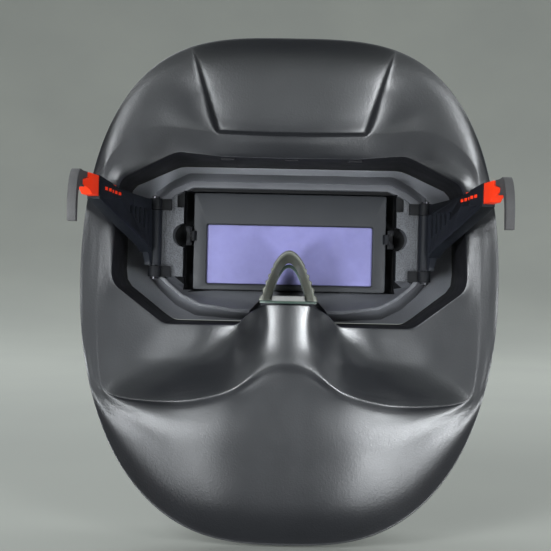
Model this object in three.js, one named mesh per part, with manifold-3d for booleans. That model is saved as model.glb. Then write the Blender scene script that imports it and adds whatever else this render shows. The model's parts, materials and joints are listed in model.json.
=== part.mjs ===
// Welding helmet: a face mask that carries a pair of auto-darkening goggles.
//
// Frame: millimetres, +Z up, +X to the wearer's left, the front of the mask faces -Y and the
// wearer looks out from +Y. The origin is the nose seat, between the two legs of the nose pad.

import * as THREE from 'three';
import { mergeVertices } from 'three/addons/utils/BufferGeometryUtils.js';
import Module from 'manifold-3d';

const wasm = await Module();
wasm.setup();

// ---------------------------------------------------------------- driving dimensions

const GAP = 0.3;                      // air left between pieces that rest on each other
const PAST = 1;                       // how far a cutting tool runs past the face it cuts

// Mask shell
const RIM = { halfWidth: 109.3, middle: -12.8, up: 128.5, down: 133.6 };
const RIM_POWERS = { above: [3.35, 2.2], below: [2.87, 2] };   // of the rim's width and of its height
const SHELL_THICKNESS = 2.5;
const BAY_FRONT = -36;                // front end of the bay wall
const BAY_FLOOR = -33.5;              // height of the bay's lower wall
const BAY_WALL = 2.5;
const LIP_DROP = 2.2;                 // depth of the rounded lip at the mouth of the bay
const MOST_SLANT = 1.9;               // most that a slanted wall is thickened along Y

// Catches under the top of the bay's mouth
const CATCH = { spacing: 34, halfWidth: 4, y0: 5, y1: 8, low: 54, high: 56.5 };

// Auto-darkening cartridge: 108 x 54 mm with a 93 x 33 mm window
const CARTRIDGE = { halfWidth: 54, low: -15.4, high: 38.9, back: -22, split: -26.9, front: -32 };
const WINDOW = { halfWidth: 46.5, low: -11.9, high: 21.1 };
const CASE_WALL = 1.6;
const SENSOR = { x: 38, radius: 2.8, straight: 2.6, dome: 1.6, back: -27.5, hole: 3.2 };
const BATTERY = { x: 15, radius: 5.6, capRadius: 4.6 };
const BOARD = { halfWidth: 51.5, low: 24.9, high: 36.6, front: -27.2, back: -26 };
const ELECTRONICS_MIDDLE = 30.7;      // height of the row of sensors, cells and batteries

// Goggle frame
const FRAME = { wingBack: -29, wingFront: -32, front: -37, rim: -14, land: -16, slotFloor: -29.5 };
const SLOT_OUTER = 59.3;              // outer side of the slot beside the cartridge
const LAND_OUTER = 71;
const WING_CLEARANCE = 0.5;
const CARTRIDGE_ROOM = 0.5;           // air round the cartridge in its cavity
const LENS_OPENING = { halfWidth: 51.5, low: -13, high: 36.3 };
const HEADROOM = { floor: -19, half: [[0, 41.2], [54, 41.2], [63, 36.9], [63, 30], [0, 30]] };
const NOSE_NOTCH = { floor: -23, half: [[0, -19.6], [14.8, -19.6], [21, -26], [26, -36], [0, -36]] };
const CLIP_POCKET = { halfWidth: 9.3, floor: -24.3, low: -20.9, high: -18.3 };
const FINGER_NOTCH = { radius: 6.6, x: 58.7, z: 14.5, floor: -27.5 };

// Temples
const HINGE = { x: 74.5, y: -12, radius: 3.4, room: 4.2, low: -2.4, high: 27.9 };
const LUG = { radius: 3.6, height: 6, gap: 0.4, webFace: -12.6 };
const PIN = { radius: 1.2, bore: 1.5, headRadius: 2.2, headHeight: 0.9, intoBarrel: 8 };
const SPLAY = THREE.MathUtils.degToRad(14.6);
const ARM = { end: 73.5, outer: -3.6, inner: -0.4, ribOuter: -5.4, ribInner: 1.2, sleeveOuter: -4.7,
  sleeveInner: 0.7 };
const RIB_HEIGHT = 2.2;               // of the stiffening rib along the arm's lower edge
const VENTS = { first: 8.5, pitch: 6, count: 5, halfWidth: 1.5, high: 28.5, lowAtHinge: 12, lowRise: 0.36 };
const COLLAR = { outer: -4.7, inner: 0.7 };
const LEG = { low: 32, high: 37, outer: -2.9, inner: -1.1, start: 50, pocketEnd: 47 };
const TIP = { start: 79, bendX: 98, bendZ: 22, outer: 18.2, inner: 10.8, low: 15.5, taper: 1,
  y0: -3.9, y1: -0.1 };
const CORE = { outer: 15.4, inner: 12.8, low: 18, y0: -2.4, y1: -1.6 };
const TURN_IN = { start: 84, length: 10, angle: THREE.MathUtils.degToRad(20), middle: -2 };

// Cover lens, bezel and screws
const LENS = { halfWidth: 56.5, low: -17, high: 40.3, back: -38.5, front: -40 };
const BEZEL = { halfWidth: 64.5, low: -25.5, high: 48.5, back: -37.3, front: -44, corner: 7 };
const SCREW = { x: 60.9, low: -21.6, high: 44.3, shaft: 1.25, hole: 1.6, head: 2.6, recess: 2.95, seat: -42,
  face: -43.6 };

const SEAL = { outerInset: 0.8, innerInset: 4.4, thickness: 2.6 };

const LATCH = { low: 9.3, high: 19.7, inner: 54.9, outer: 58.2, back: -19.6, front: -27 };

// Nose pad
const NOSE = { base: -20.2, top: 0, near: 4.5, far: -8.5, wall: 2.4 };

// ---------------------------------------------------------------- materials

function finish(colour, roughness, metalness = 0) {
  return new THREE.MeshStandardMaterial({ color: colour, roughness, metalness });
}

const MATERIALS = {
  shell: finish(0x3a3b3f, 0.42),
  frame: finish(0x2c2d31, 0.5),
  case: finish(0x3c3e42, 0.6),
  temple: finish(0x14161c, 0.45),
  slider: finish(0xf93920, 0.4),
  rubber: finish(0x625f61, 0.8),
  nosePad: finish(0x8a8a78, 0.55),
  foam: finish(0x17181a, 0.95),
  violetGlass: finish(0x8082b6, 0.12),
  shutterGlass: finish(0x3f4468, 0.1),
  filterGlass: finish(0x4b5f52, 0.08),
  clearLens: finish(0xb9c2c4, 0.08),
  solar: finish(0x161b33, 0.25),
  sensor: finish(0x2a1416, 0.15),
  board: finish(0x1f5a36, 0.55),
  steel: finish(0xa9abae, 0.3, 1),
};

// ---------------------------------------------------------------- shape helpers

// Turns a geometry whose faces point inwards the right way out.
function outward(geometry) {
  const place = geometry.attributes.position;
  const index = geometry.index.array;
  const corner = (i) => new THREE.Vector3().fromBufferAttribute(place, index[i]);
  let volume = 0;
  for (let i = 0; i < index.length; i += 3) {
    volume += corner(i).dot(corner(i + 1).cross(corner(i + 2)));
  }
  if (volume < 0) {
    for (let i = 0; i < index.length; i += 3) {
      const swapped = index[i + 1];
      index[i + 1] = index[i + 2];
      index[i + 2] = swapped;
    }
  }
  return geometry;
}

// A boolean-ready solid from a closed geometry.
function toSolid(geometry) {
  const bare = new THREE.BufferGeometry();
  bare.setAttribute('position', geometry.attributes.position);
  bare.setIndex(geometry.index);
  const merged = outward(mergeVertices(bare, 1e-4));
  const vertProperties = new Float32Array(merged.attributes.position.array);
  const triVerts = new Uint32Array(merged.index.array);
  return new wasm.Manifold(new wasm.Mesh({ numProp: 3, vertProperties, triVerts }));
}

function toGeometry(solid) {
  const mesh = solid.getMesh();
  const geometry = new THREE.BufferGeometry();
  geometry.setAttribute('position', new THREE.BufferAttribute(new Float32Array(mesh.vertProperties), 3));
  geometry.setIndex(new THREE.BufferAttribute(new Uint32Array(mesh.triVerts), 1));
  geometry.computeVertexNormals();
  return geometry;
}

function joined(...solids) {
  return solids.reduce((sum, solid) => sum.add(solid));
}

function cut(solid, ...tools) {
  return tools.reduce((rest, tool) => rest.subtract(tool), solid);
}

function block(x0, x1, y0, y1, z0, z1) {
  const geometry = new THREE.BoxGeometry(x1 - x0, y1 - y0, z1 - z0);
  geometry.translate((x0 + x1) / 2, (y0 + y1) / 2, (z0 + z1) / 2);
  return toSolid(geometry);
}

// The other half of an outline that starts and ends on the centre line.
function symmetric(half) {
  const other = half.filter(([x]) => x > 0).map(([x, z]) => [-x, z]);
  return [...half, ...other.reverse()];
}

function rectangle(halfWidth, low, high, corner = 0, steps = 4) {
  if (corner === 0) {
    return [[halfWidth, high], [halfWidth, low], [-halfWidth, low], [-halfWidth, high]];
  }
  const centres = [[1, high - corner], [1, low + corner], [-1, low + corner], [-1, high - corner]];
  const outline = [];
  centres.forEach(([side, z], quarter) => {
    for (let i = 0; i <= steps; i += 1) {
      const turn = Math.PI / 2 * (1 - quarter - i / steps);
      outline.push([side * (halfWidth - corner) + corner * Math.cos(turn), z + corner * Math.sin(turn)]);
    }
  });
  return outline;
}

// An outline moved outwards by a distance, or inwards if the distance is negative.
// The outline runs clockwise as seen with +X to the right and +Z up.
function grown(outline, distance) {
  return outline.map(([x, z], i) => {
    const before = outline[(i + outline.length - 1) % outline.length];
    const after = outline[(i + 1) % outline.length];
    const into = new THREE.Vector2(x - before[0], z - before[1]).normalize();
    const away = new THREE.Vector2(after[0] - x, after[1] - z).normalize();
    const normal = new THREE.Vector2(-into.y - away.y, into.x + away.x).normalize();
    const miter = distance / Math.max(0.5, normal.dot(new THREE.Vector2(-into.y, into.x)));
    return [x + normal.x * miter, z + normal.y * miter];
  });
}

// Holes run the other way round from the outline.
function toShape(outline, holes = []) {
  const points = (line) => line.map(([x, z]) => new THREE.Vector2(x, z));
  const shape = new THREE.Shape(points(outline));
  shape.holes = holes.map((hole) => new THREE.Path(points(hole).reverse()));
  return shape;
}

// A plate whose outline lies in X and Z, between two depths in Y.
function slab(outline, y0, y1, holes = []) {
  const depth = Math.abs(y1 - y0);
  const geometry = new THREE.ExtrudeGeometry(toShape(outline, holes), { depth, bevelEnabled: false });
  geometry.rotateX(Math.PI / 2);
  geometry.translate(0, Math.max(y0, y1), 0);
  return toSolid(mergeVertices(withoutShading(geometry), 1e-4));
}

function withoutShading(geometry) {
  geometry.deleteAttribute('normal');
  geometry.deleteAttribute('uv');
  return geometry;
}

// A body that runs from outline to outline, each with the same number of points.
function loft(sections) {
  const count = sections[0].outline.length;
  const points = sections.flatMap(({ y, outline }) => outline.map(([x, z]) => [x, y, z]));
  const index = [];
  for (let s = 0; s < sections.length - 1; s += 1) {
    for (let i = 0; i < count; i += 1) {
      const a = s * count + i;
      const b = s * count + (i + 1) % count;
      index.push(a, b, a + count, b, b + count, a + count);
    }
  }
  const cap = (outline) => {
    const flat = outline.map(([x, z]) => new THREE.Vector2(x, z));
    return THREE.ShapeUtils.triangulateShape(flat, []);
  };
  const lastRow = (sections.length - 1) * count;
  cap(sections[0].outline).forEach(([a, b, c]) => index.push(a, b, c));
  cap(sections.at(-1).outline).forEach(([a, b, c]) => index.push(lastRow + a, lastRow + c, lastRow + b));
  const geometry = new THREE.BufferGeometry();
  geometry.setAttribute('position', new THREE.Float32BufferAttribute(points.flat(), 3));
  geometry.setIndex(index);
  return toSolid(geometry);
}

// A round bar along Z or along Y.
function bar(radius, x, y, z0, z1, sides = 20) {
  const geometry = new THREE.CylinderGeometry(radius, radius, z1 - z0, sides);
  geometry.rotateX(Math.PI / 2);
  geometry.translate(x, y, (z0 + z1) / 2);
  return toSolid(withoutShading(geometry));
}

function barAlongY(radius, x, z, y0, y1, sides = 20) {
  const geometry = new THREE.CylinderGeometry(radius, radius, y1 - y0, sides);
  geometry.translate(x, (y0 + y1) / 2, z);
  return toSolid(withoutShading(geometry));
}

// The same solid on the wearer's other side.
function mirrored(solid) {
  const geometry = toGeometry(solid);
  geometry.scale(-1, 1, 1);
  return toSolid(geometry);
}

// Smooth curve through values at knots that never overshoots them.
function smooth(knots, values, at) {
  const last = knots.length - 1;
  let k = 0;
  while (k < last - 1 && at > knots[k + 1]) {
    k += 1;
  }
  const step = (i) => knots[i + 1] - knots[i];
  const slope = (i) => (values[i + 1] - values[i]) / step(i);
  const tangent = (i) => {
    if (i === 0) return slope(0);
    if (i === last) return slope(last - 1);
    const before = slope(i - 1);
    const after = slope(i);
    if (before * after <= 0) return 0;
    const weightBefore = 2 * step(i) + step(i - 1);
    const weightAfter = step(i) + 2 * step(i - 1);
    return (weightBefore + weightAfter) / (weightBefore / before + weightAfter / after);
  };
  const t = (at - knots[k]) / step(k);
  const rise = values[k] * (2 * t ** 3 - 3 * t ** 2 + 1) + values[k + 1] * (3 * t ** 2 - 2 * t ** 3);
  return rise + step(k) * (tangent(k) * (t ** 3 - 2 * t ** 2 + t) + tangent(k + 1) * (t ** 3 - t ** 2));
}

// ---------------------------------------------------------------- mask shell

// Sections of the shell from the top of the forehead round to the bottom of the chin. Each one
// is a line from the bay's mouth, over a feature line, to the rim:
//   mouth    where it leaves the bay            [x, z]
//   bay      the bay wall's front end           [x, z]
//   feature  forehead panel edge or chin ledge  [x, z]
//   rim      direction of its end on the rim, in degrees from straight up
//   depth    y at each of DEPTH_AT, before the rim
const DEPTH_AT = [0, 0.1, 0.4, 0.7, 1, 1.04, 1.5, 1.86, 2];
const SECTIONS = [
  { mouth: [0, 55], bay: [0, 54.6], feature: [0, 68], rim: 0,
    depth: [13, 12, 9.5, 7.6, 6.5, 2, 7.2, 15.5] },
  { mouth: [36, 55.3], bay: [36, 54.6], feature: [38.7, 68], rim: 26,
    depth: [13.5, 12.7, 11.6, 11, 10.8, 6.2, 11, 18.8] },
  { mouth: [38, 55.5], bay: [38, 54.6], feature: [40.4, 68.4], rim: 27,
    depth: [13.5, 12.8, 11.8, 11.3, 11.2, 11.3, 14, 20.8] },
  { mouth: [60.5, 57.5], bay: [62.8, 54.6], feature: [69, 71], rim: 41.5,
    depth: [13.4, 13.4, 13.5, 13.8, 14.4, 14.6, 17.6, 21] },
  { mouth: [91.5, 42.5], bay: [91.5, 41.5], feature: [98.5, 47], rim: 61.6,
    depth: [10.5, 12, 14, 15.4, 16.2, 16.3, 17.8, 19.4] },
  { mouth: [94, -12], bay: [93.5, -12], feature: [100.5, -15], rim: 92,
    depth: [14, 14.3, 15, 15.8, 16.6, 16.7, 17.8, 18.5] },
  { mouth: [66, -33.5], bay: [66, -33.5], feature: [96, -69], rim: 112.6,
    depth: [12.5, 12.8, 14.2, 16.4, 18.7, 18.8, 19.3, 19.8] },
  { mouth: [46, -33.5], bay: [46, -33.5], feature: [60, -77.5], rim: 131,
    depth: [13, 13.6, 13.2, 4, -5.5, -2, 7.5, 15] },
  { mouth: [27, -33.5], bay: [27, -33.5], feature: [31, -72], rim: 153.6,
    depth: [9, 8.5, 3, -6, -13.5, -11.2, -2.4, 12.4] },
  { mouth: [21.5, -27.5], bay: [20, -33.5], feature: [22, -66], rim: 161,
    depth: [2.5, 2, -4, -11, -16.9, -13.9, -4.8, 10.3] },
  { mouth: [12.5, -22.7], bay: [11, -33.5], feature: [12, -59.2], rim: 170,
    depth: [-13.2, -13.5, -14.8, -16.2, -18.3, -15.7, -6.7, 8.9] },
  { mouth: [0, -22.7], bay: [0, -33.5], feature: [0, -56], rim: 180,
    depth: [-15.5, -15.8, -17, -18.3, -19.6, -16.4, -7.3, 8.5] },
];
const TONGUE_START = 8;               // section where the nose tongue leaves the bay's lower wall
const CORNER_SHARE = 0.14;            // share of each side of the bay taken up by its round corner

const STEP_ALONG = 0.02;              // step over which the shell's direction is measured
const INSIDE_ROWS = [2, 1.93, 1.8, 1.5, 1.25, 1.04, 1, 0.85, 0.65, 0.4, 0.15, 0];
const FRONT_SHARES = [0, 0.25, 0.5, 0.75];
const FRONT_ROWS = [1, 1.04, 1.25, 1.5, 1.8, 2];

const between = (a, b, t) => a.map((value, i) => value + (b[i] - value) * t);

// Where each section stands along the loop: the mean length of the mouth and feature lines.
function sectionKnots() {
  const knots = [0];
  for (let k = 1; k < SECTIONS.length; k += 1) {
    const length = (line) => {
      const [a, b] = [SECTIONS[k - 1][line], SECTIONS[k][line]];
      return Math.hypot(b[0] - a[0], b[1] - a[1]);
    };
    knots.push(knots[k - 1] + (length('mouth') + length('feature')) / 2);
  }
  return knots;
}

const KNOTS = sectionKnots();

// The knots and values of one quantity, carried on past the centre line at both ends.
function overCentre(values, sign) {
  const n = KNOTS.length;
  const end = KNOTS[n - 1];
  const knots = [-KNOTS[1], ...KNOTS, 2 * end - KNOTS[n - 2]];
  return [knots, [sign * values[1], ...values, sign * values[n - 2]]];
}

const FEATURE_X = overCentre(SECTIONS.map((s) => s.feature[0]), -1);
const FEATURE_Z = overCentre(SECTIONS.map((s) => s.feature[1]), 1);
const RIM_SIDE = overCentre(SECTIONS.map((s) => s.rim), 1);
const DEPTHS = SECTIONS[0].depth.map((_, row) => overCentre(SECTIONS.map((s) => s.depth[row]), 1));

// The rim's turn from straight up runs on past 180 degrees, so its two ends are mirrored by hand.
RIM_SIDE[1][0] = -SECTIONS[1].rim;
RIM_SIDE[1][RIM_SIDE[1].length - 1] = 360 - SECTIONS.at(-2).rim;

// A place in section numbers, such as 2.5, as a distance along the loop.
function alongLoop(place) {
  const k = Math.min(Math.floor(place), SECTIONS.length - 2);
  return KNOTS[k] + (KNOTS[k + 1] - KNOTS[k]) * (place - k);
}

// A point on a line of straight sides with rounded corners, at a place in section numbers.
function onSides(line, place) {
  const last = SECTIONS.length - 1;
  const corner = Math.round(place);
  const off = place - corner;
  const point = (k) => SECTIONS[Math.min(Math.max(k, 0), last)][line];
  if (corner > 0 && corner < last && Math.abs(off) < CORNER_SHARE) {
    const t = (off + CORNER_SHARE) / (2 * CORNER_SHARE);
    const a = between(point(corner), point(corner - 1), CORNER_SHARE);
    const b = between(point(corner), point(corner + 1), CORNER_SHARE);
    return between(between(a, point(corner), t), between(point(corner), b, t), t);
  }
  const k = Math.min(Math.floor(place), last - 1);
  return between(point(k), point(k + 1), place - k);
}

// A point on the rim, which is the curve where width ** p + height ** q is 1.
function rimPoint(degrees) {
  const turn = THREE.MathUtils.degToRad(degrees);
  const [side, up] = [Math.sin(turn), Math.cos(turn)];
  const [p, q] = up > 0 ? RIM_POWERS.above : RIM_POWERS.below;
  let [near, far] = [1, Math.SQRT2];
  for (let i = 0; i < 40; i += 1) {
    const reach = (near + far) / 2;
    const isInside = Math.abs(side * reach) ** p + Math.abs(up * reach) ** q < 1;
    [near, far] = isInside ? [reach, far] : [near, reach];
  }
  return [RIM.halfWidth * side * near, RIM.middle + (up > 0 ? RIM.up : RIM.down) * up * near];
}

// The rim stands nearest the wearer at the forehead and the chin.
function rimDepth(z) {
  const fromEyes = (z + 5) / 125;
  return 19 + (z > 0 ? 7 : 4) * fromEyes ** 2;
}

// A point of the wearer's side of the shell: v is 0 at the bay's mouth, 1 at the feature line
// and 2 at the rim.
function insidePoint(place, v) {
  const at = alongLoop(place);
  const mouth = onSides('mouth', place);
  const feature = [smooth(...FEATURE_X, at), smooth(...FEATURE_Z, at)];
  const rim = rimPoint(smooth(...RIM_SIDE, at));
  const [x, z] = v <= 1 ? between(mouth, feature, v) : between(feature, rim, v - 1);
  const toFeature = Math.hypot(feature[0] - mouth[0], feature[1] - mouth[1]);
  const toRim = Math.hypot(rim[0] - feature[0], rim[1] - feature[1]);
  const reach = (row) => toFeature * Math.min(row, 1) + toRim * Math.max(row - 1, 0);
  const depths = DEPTHS.map((row) => smooth(...row, at));
  const y = smooth(DEPTH_AT.map(reach), [...depths, rimDepth(rim[1])], reach(v));
  return new THREE.Vector3(x, y, z);
}

// The matching point of the front side, straight ahead of it and further off where the wall slants.
function outsidePoint(place, v) {
  const reach = STEP_ALONG;
  const end = SECTIONS.length - 1;
  const [u0, u1] = [Math.max(place - reach, 0), Math.min(place + reach, end)];
  const [v0, v1] = [Math.max(v - reach, 0), Math.min(v + reach, 2)];
  const round = insidePoint(u1, v).sub(insidePoint(u0, v));
  const out = insidePoint(place, v1).sub(insidePoint(place, v0));
  const normal = round.cross(out).normalize();
  const slant = Math.min(1 / Math.max(Math.abs(normal.y), 0.1), MOST_SLANT);
  const point = insidePoint(place, v);
  point.y -= SHELL_THICKNESS * slant;
  return point;
}

// One closed loop of points round the wall's section: in along the wearer's side, over the lip,
// down the bay wall to its front end and back out along the front side.
function sectionLoop(place) {
  const mouth = insidePoint(place, 0);
  const mouthZ = mouth.z;
  const featureZ = insidePoint(place, 1).z;
  const onTongue = place > TONGUE_START;
  const reachZ = (z) => (mouthZ - z) / (mouthZ - featureZ);

  const lip = mouth.clone();
  lip.y -= LIP_DROP;
  let wallTop = lip.clone();
  wallTop.y -= LIP_DROP;
  let start = 0.1;
  if (onTongue) {
    wallTop = outsidePoint(place, reachZ(BAY_FLOOR));
    wallTop.y = Math.min(wallTop.y, lip.y - LIP_DROP);
    start = Math.max(start, reachZ(BAY_FLOOR - 2 * BAY_WALL));
  }
  const [bayX, bayZ] = onSides('bay', place);
  const ahead = onSides('bay', Math.min(place + STEP_ALONG, SECTIONS.length - 1));
  const behind = onSides('bay', Math.max(place - STEP_ALONG, 0));
  const side = new THREE.Vector2(ahead[0] - behind[0], ahead[1] - behind[1]).normalize();
  const inner = new THREE.Vector3(bayX, BAY_FRONT, bayZ);
  const outer = new THREE.Vector3(bayX - side.y * BAY_WALL, BAY_FRONT, bayZ + side.x * BAY_WALL);

  const frontRows = [...FRONT_SHARES.map((t) => start + (1 - start) * t), ...FRONT_ROWS];
  return [
    ...INSIDE_ROWS.map((v) => insidePoint(place, v)),
    lip,
    wallTop,
    inner,
    outer,
    ...frontRows.map((v) => outsidePoint(place, v)),
  ];
}

function maskShell() {
  const places = [];
  for (let k = 0; k < SECTIONS.length - 1; k += 1) {
    const long = KNOTS[k + 1] - KNOTS[k] > 30;
    const shares = long ? [0, 0.14, 0.32, 0.5, 0.68, 0.86] : [0, 0.14, 0.5, 0.86];
    const narrow = KNOTS[k + 1] - KNOTS[k] < 5;
    places.push(...(narrow ? [0] : shares).map((share) => k + share));
  }
  places.push(SECTIONS.length - 1);
  const half = places.map(sectionLoop);
  const other = half.slice(1, -1).reverse();
  const flip = (point) => new THREE.Vector3(-point.x, point.y, point.z);
  const loops = [...half, ...other.map((loop) => loop.map(flip))];

  const rows = loops[0].length;
  const index = [];
  loops.forEach((_, column) => {
    const next = (column + 1) % loops.length;
    for (let row = 0; row < rows; row += 1) {
      const a = column * rows + row;
      const b = column * rows + (row + 1) % rows;
      const c = next * rows + (row + 1) % rows;
      const d = next * rows + row;
      index.push(a, b, c, a, c, d);
    }
  });
  const geometry = new THREE.BufferGeometry();
  geometry.setAttribute('position', new THREE.Float32BufferAttribute(
    loops.flat().flatMap((point) => point.toArray()), 3));
  geometry.setIndex(index);
  return joined(toSolid(geometry), ...bayCatches());
}

// Three small bumps under the top of the bay's mouth.
function bayCatches() {
  const { spacing, halfWidth, y0, y1, low, high } = CATCH;
  return [-spacing, 0, spacing].map((x) => block(x - halfWidth, x + halfWidth, y0, y1, low, high));
}

// ---------------------------------------------------------------- goggle frame

// The bay's outline with its eight round corners, moved inwards.
function wingOutline(inset) {
  const corners = [3, 4, 5, 6].flatMap((k) => [k - CORNER_SHARE, k, k + CORNER_SHARE]);
  return grown(symmetric(corners.map((place) => onSides('bay', place))), -inset);
}

const RIM_OUTER = [[0, 44.5], [55, 44.5], [65, 39.8], [73, 33.8], [73, -8], [68.5, -12.5],
  [60, -19.5], [50, -24.5], [30, -27.5], [0, -27.5]];
const RIM_BASE = [[0, 50.5], [58, 50.5], [69, 45], [77, 39], [77, -11], [73, -17],
  [64, -25], [53, -30.5], [31, -32], [0, -32]];
const LAND = [[SLOT_OUTER - 0.5, 39.4], [63.5, 37], [LAND_OUTER, 31.2], [LAND_OUTER, -7.5],
  [SLOT_OUTER - 0.5, -14.5]];
const FRONT_BOX = rectangle(66, -27, 49.6, 6);

function scoop() {
  const deep = [[0, -8.5], [SLOT_OUTER, -8.5], [SLOT_OUTER, -13], [55, -15.9], [42, -15.9], [20, -15.9],
    [0, -15.9]];
  const shallow = [[0, -8.5], [69.5, -8.5], [67.3, -11.5], [59, -18.5], [49.5, -23.3], [30, -26.2],
    [0, -26.2]];
  const steps = [{ y: -25, t: -0.1 }, { y: -24, t: 0 }, { y: -20, t: 0.5 }, { y: -16, t: 0.86 },
    { y: FRAME.rim + PAST, t: 1.04 }];
  return loft(steps.map(({ y, t }) => ({
    y,
    outline: symmetric(deep.map((point, i) => between(point, shallow[i], t))),
  })));
}

function hingeLug(low, high) {
  const web = block(66, HINGE.x, -22, LUG.webFace, low, high);
  const eye = bar(LUG.radius, HINGE.x, HINGE.y, low, high);
  return joined(web, eye);
}

function goggleFrame() {
  const wing = slab(wingOutline(WING_CLEARANCE), FRAME.wingFront, FRAME.wingBack);
  const front = slab(FRONT_BOX, FRAME.front, FRAME.wingFront + PAST);
  const body = loft([
    { y: FRAME.wingFront, outline: symmetric(RIM_BASE) },
    { y: FRAME.wingBack, outline: symmetric(RIM_BASE) },
    { y: FRAME.rim, outline: symmetric(RIM_OUTER) },
  ]);
  const low = CARTRIDGE.low - CARTRIDGE_ROOM;
  const high = CARTRIDGE.high + CARTRIDGE_ROOM;
  const side = CARTRIDGE.halfWidth + CARTRIDGE_ROOM;
  const open = FRAME.rim + PAST;
  const cavity = block(-side, side, CARTRIDGE.front - GAP, open, low, high);
  const slots = block(-SLOT_OUTER, SLOT_OUTER, FRAME.slotFloor, open, low, high);
  const land = slab(LAND, FRAME.land, open);
  const headroom = slab(symmetric(HEADROOM.half), HEADROOM.floor, open);
  const lensOpening = rectangle(LENS_OPENING.halfWidth, LENS_OPENING.low, LENS_OPENING.high, 2);
  const opening = slab(lensOpening, FRAME.front - PAST, CARTRIDGE.front);
  const noseNotch = slab(symmetric(NOSE_NOTCH.half), NOSE_NOTCH.floor, open);
  const clipPocket = block(-CLIP_POCKET.halfWidth, CLIP_POCKET.halfWidth, CLIP_POCKET.floor, open,
    CLIP_POCKET.low, CLIP_POCKET.high);
  const fingerNotch = barAlongY(FINGER_NOTCH.radius, FINGER_NOTCH.x, FINGER_NOTCH.z, FINGER_NOTCH.floor,
    open, 24);
  const screwHoles = screwPlaces().map(([x, z]) => (
    barAlongY(SCREW.hole, x, z, FRAME.front - PAST, FRAME.wingFront - 0.4, 12)));
  const solid = cut(joined(wing, front, body), cavity, slots, land, mirrored(land), headroom, scoop(),
    opening, noseNotch, clipPocket, fingerNotch, mirrored(fingerNotch), ...screwHoles);

  const barrelRoom = bar(HINGE.room, HINGE.x, HINGE.y, HINGE.low - LUG.gap, HINGE.high + LUG.gap, 24);
  const upper = hingeLug(HINGE.high + LUG.gap, HINGE.high + LUG.gap + LUG.height);
  const lower = hingeLug(HINGE.low - LUG.gap - LUG.height, HINGE.low - LUG.gap);
  const pinBore = bar(PIN.bore, HINGE.x, HINGE.y, HINGE.low - 10, HINGE.high + 10, 12);
  const left = joined(upper, lower);
  return cut(joined(solid, left, mirrored(left)), barrelRoom, mirrored(barrelRoom), pinBore, mirrored(pinBore));
}

// ---------------------------------------------------------------- front lens and bezel

function screwPlaces() {
  const { x, low, high } = SCREW;
  return [[x, high], [x, low], [-x, low], [-x, high]];
}

function bezelScrew([x, z]) {
  const head = barAlongY(SCREW.head, x, z, SCREW.face, SCREW.seat, 20);
  const shaft = barAlongY(SCREW.shaft, x, z, SCREW.seat - 0.5, FRAME.wingFront - PAST, 12);
  const slot = block(x - 0.4, x + 0.4, SCREW.face - PAST, SCREW.face + 0.6, z - 1.9, z + 1.9);
  return cut(joined(head, shaft), slot);
}

function frontBezel() {
  const outline = (inset) => grown(rectangle(BEZEL.halfWidth, BEZEL.low, BEZEL.high, BEZEL.corner), -inset);
  const body = loft([
    { y: BEZEL.back, outline: outline(0) },
    { y: BEZEL.front + 2, outline: outline(0.4) },
    { y: BEZEL.front, outline: outline(2) },
  ]);
  const seat = slab(rectangle(LENS.halfWidth + 0.5, LENS.low - 0.5, LENS.high + 0.5, 3),
    LENS.front - GAP, BEZEL.back + PAST);
  const opening = loft([
    { y: BEZEL.front - 0.01, outline: rectangle(52.5, -14, 37.5, 4) },
    { y: LENS.front, outline: rectangle(50.5, -12, 35.5, 3) },
  ]);
  const screwHoles = screwPlaces().flatMap(([x, z]) => [
    barAlongY(SCREW.hole, x, z, BEZEL.front - PAST, BEZEL.back + PAST, 12),
    barAlongY(SCREW.recess, x, z, BEZEL.front - PAST, SCREW.seat + GAP, 20),
  ]);
  return cut(body, seat, opening, ...screwHoles);
}

function frontCoverLens() {
  return slab(rectangle(LENS.halfWidth, LENS.low, LENS.high, 2.5), LENS.front, LENS.back);
}

function frontLensGasket() {
  const ring = [rectangle(LENS.halfWidth, LENS.low, LENS.high, 2.5), rectangle(52.5, -13.5, 36.8, 2)];
  return slab(ring[0], LENS.back + GAP, FRAME.front - GAP, [ring[1]]);
}

function baySeal() {
  const back = FRAME.wingFront - GAP;
  return slab(wingOutline(SEAL.outerInset), back - SEAL.thickness, back, [wingOutline(SEAL.innerInset)]);
}

// ---------------------------------------------------------------- auto-darkening cartridge

function cartridgeCase(y0, y1, plateY0, plateY1, holes) {
  const { halfWidth, low, high } = CARTRIDGE;
  const shell = slab(rectangle(halfWidth, low, high, 1.2, 2), y0, y1);
  const pocket = block(-halfWidth + CASE_WALL, halfWidth - CASE_WALL, y0 === plateY0 ? plateY1 : y0 - PAST,
    y1 === plateY1 ? plateY0 : y1 + PAST, low + CASE_WALL, high - CASE_WALL);
  return cut(shell, pocket, ...holes);
}

function cartridgeFrontCase() {
  const { front, split } = CARTRIDGE;
  const past = [front - PAST, front + CASE_WALL + PAST];
  const holes = [
    slab(rectangle(WINDOW.halfWidth + 1, WINDOW.low - 1, WINDOW.high + 1, 1), ...past),
    slab(rectangle(24, 25.9, 35.5, 1), ...past),
    barAlongY(SENSOR.hole, SENSOR.x, ELECTRONICS_MIDDLE, ...past),
    barAlongY(SENSOR.hole, -SENSOR.x, ELECTRONICS_MIDDLE, ...past),
  ];
  return cartridgeCase(front, split - GAP / 2, front, front + CASE_WALL, holes);
}

function cartridgeBackCase() {
  const { back, split } = CARTRIDGE;
  const window = rectangle(WINDOW.halfWidth, WINDOW.low, WINDOW.high, 1);
  const wide = rectangle(WINDOW.halfWidth + 0.8, WINDOW.low - 0.8, WINDOW.high + 0.8, 1.4);
  const opening = loft([
    { y: back - CASE_WALL - 0.4 - PAST, outline: window },
    { y: back - 0.8, outline: window },
    { y: back + 0.01, outline: wide },
  ]);
  return cartridgeCase(split + GAP / 2, back, back - CASE_WALL, back, [opening]);
}

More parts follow.
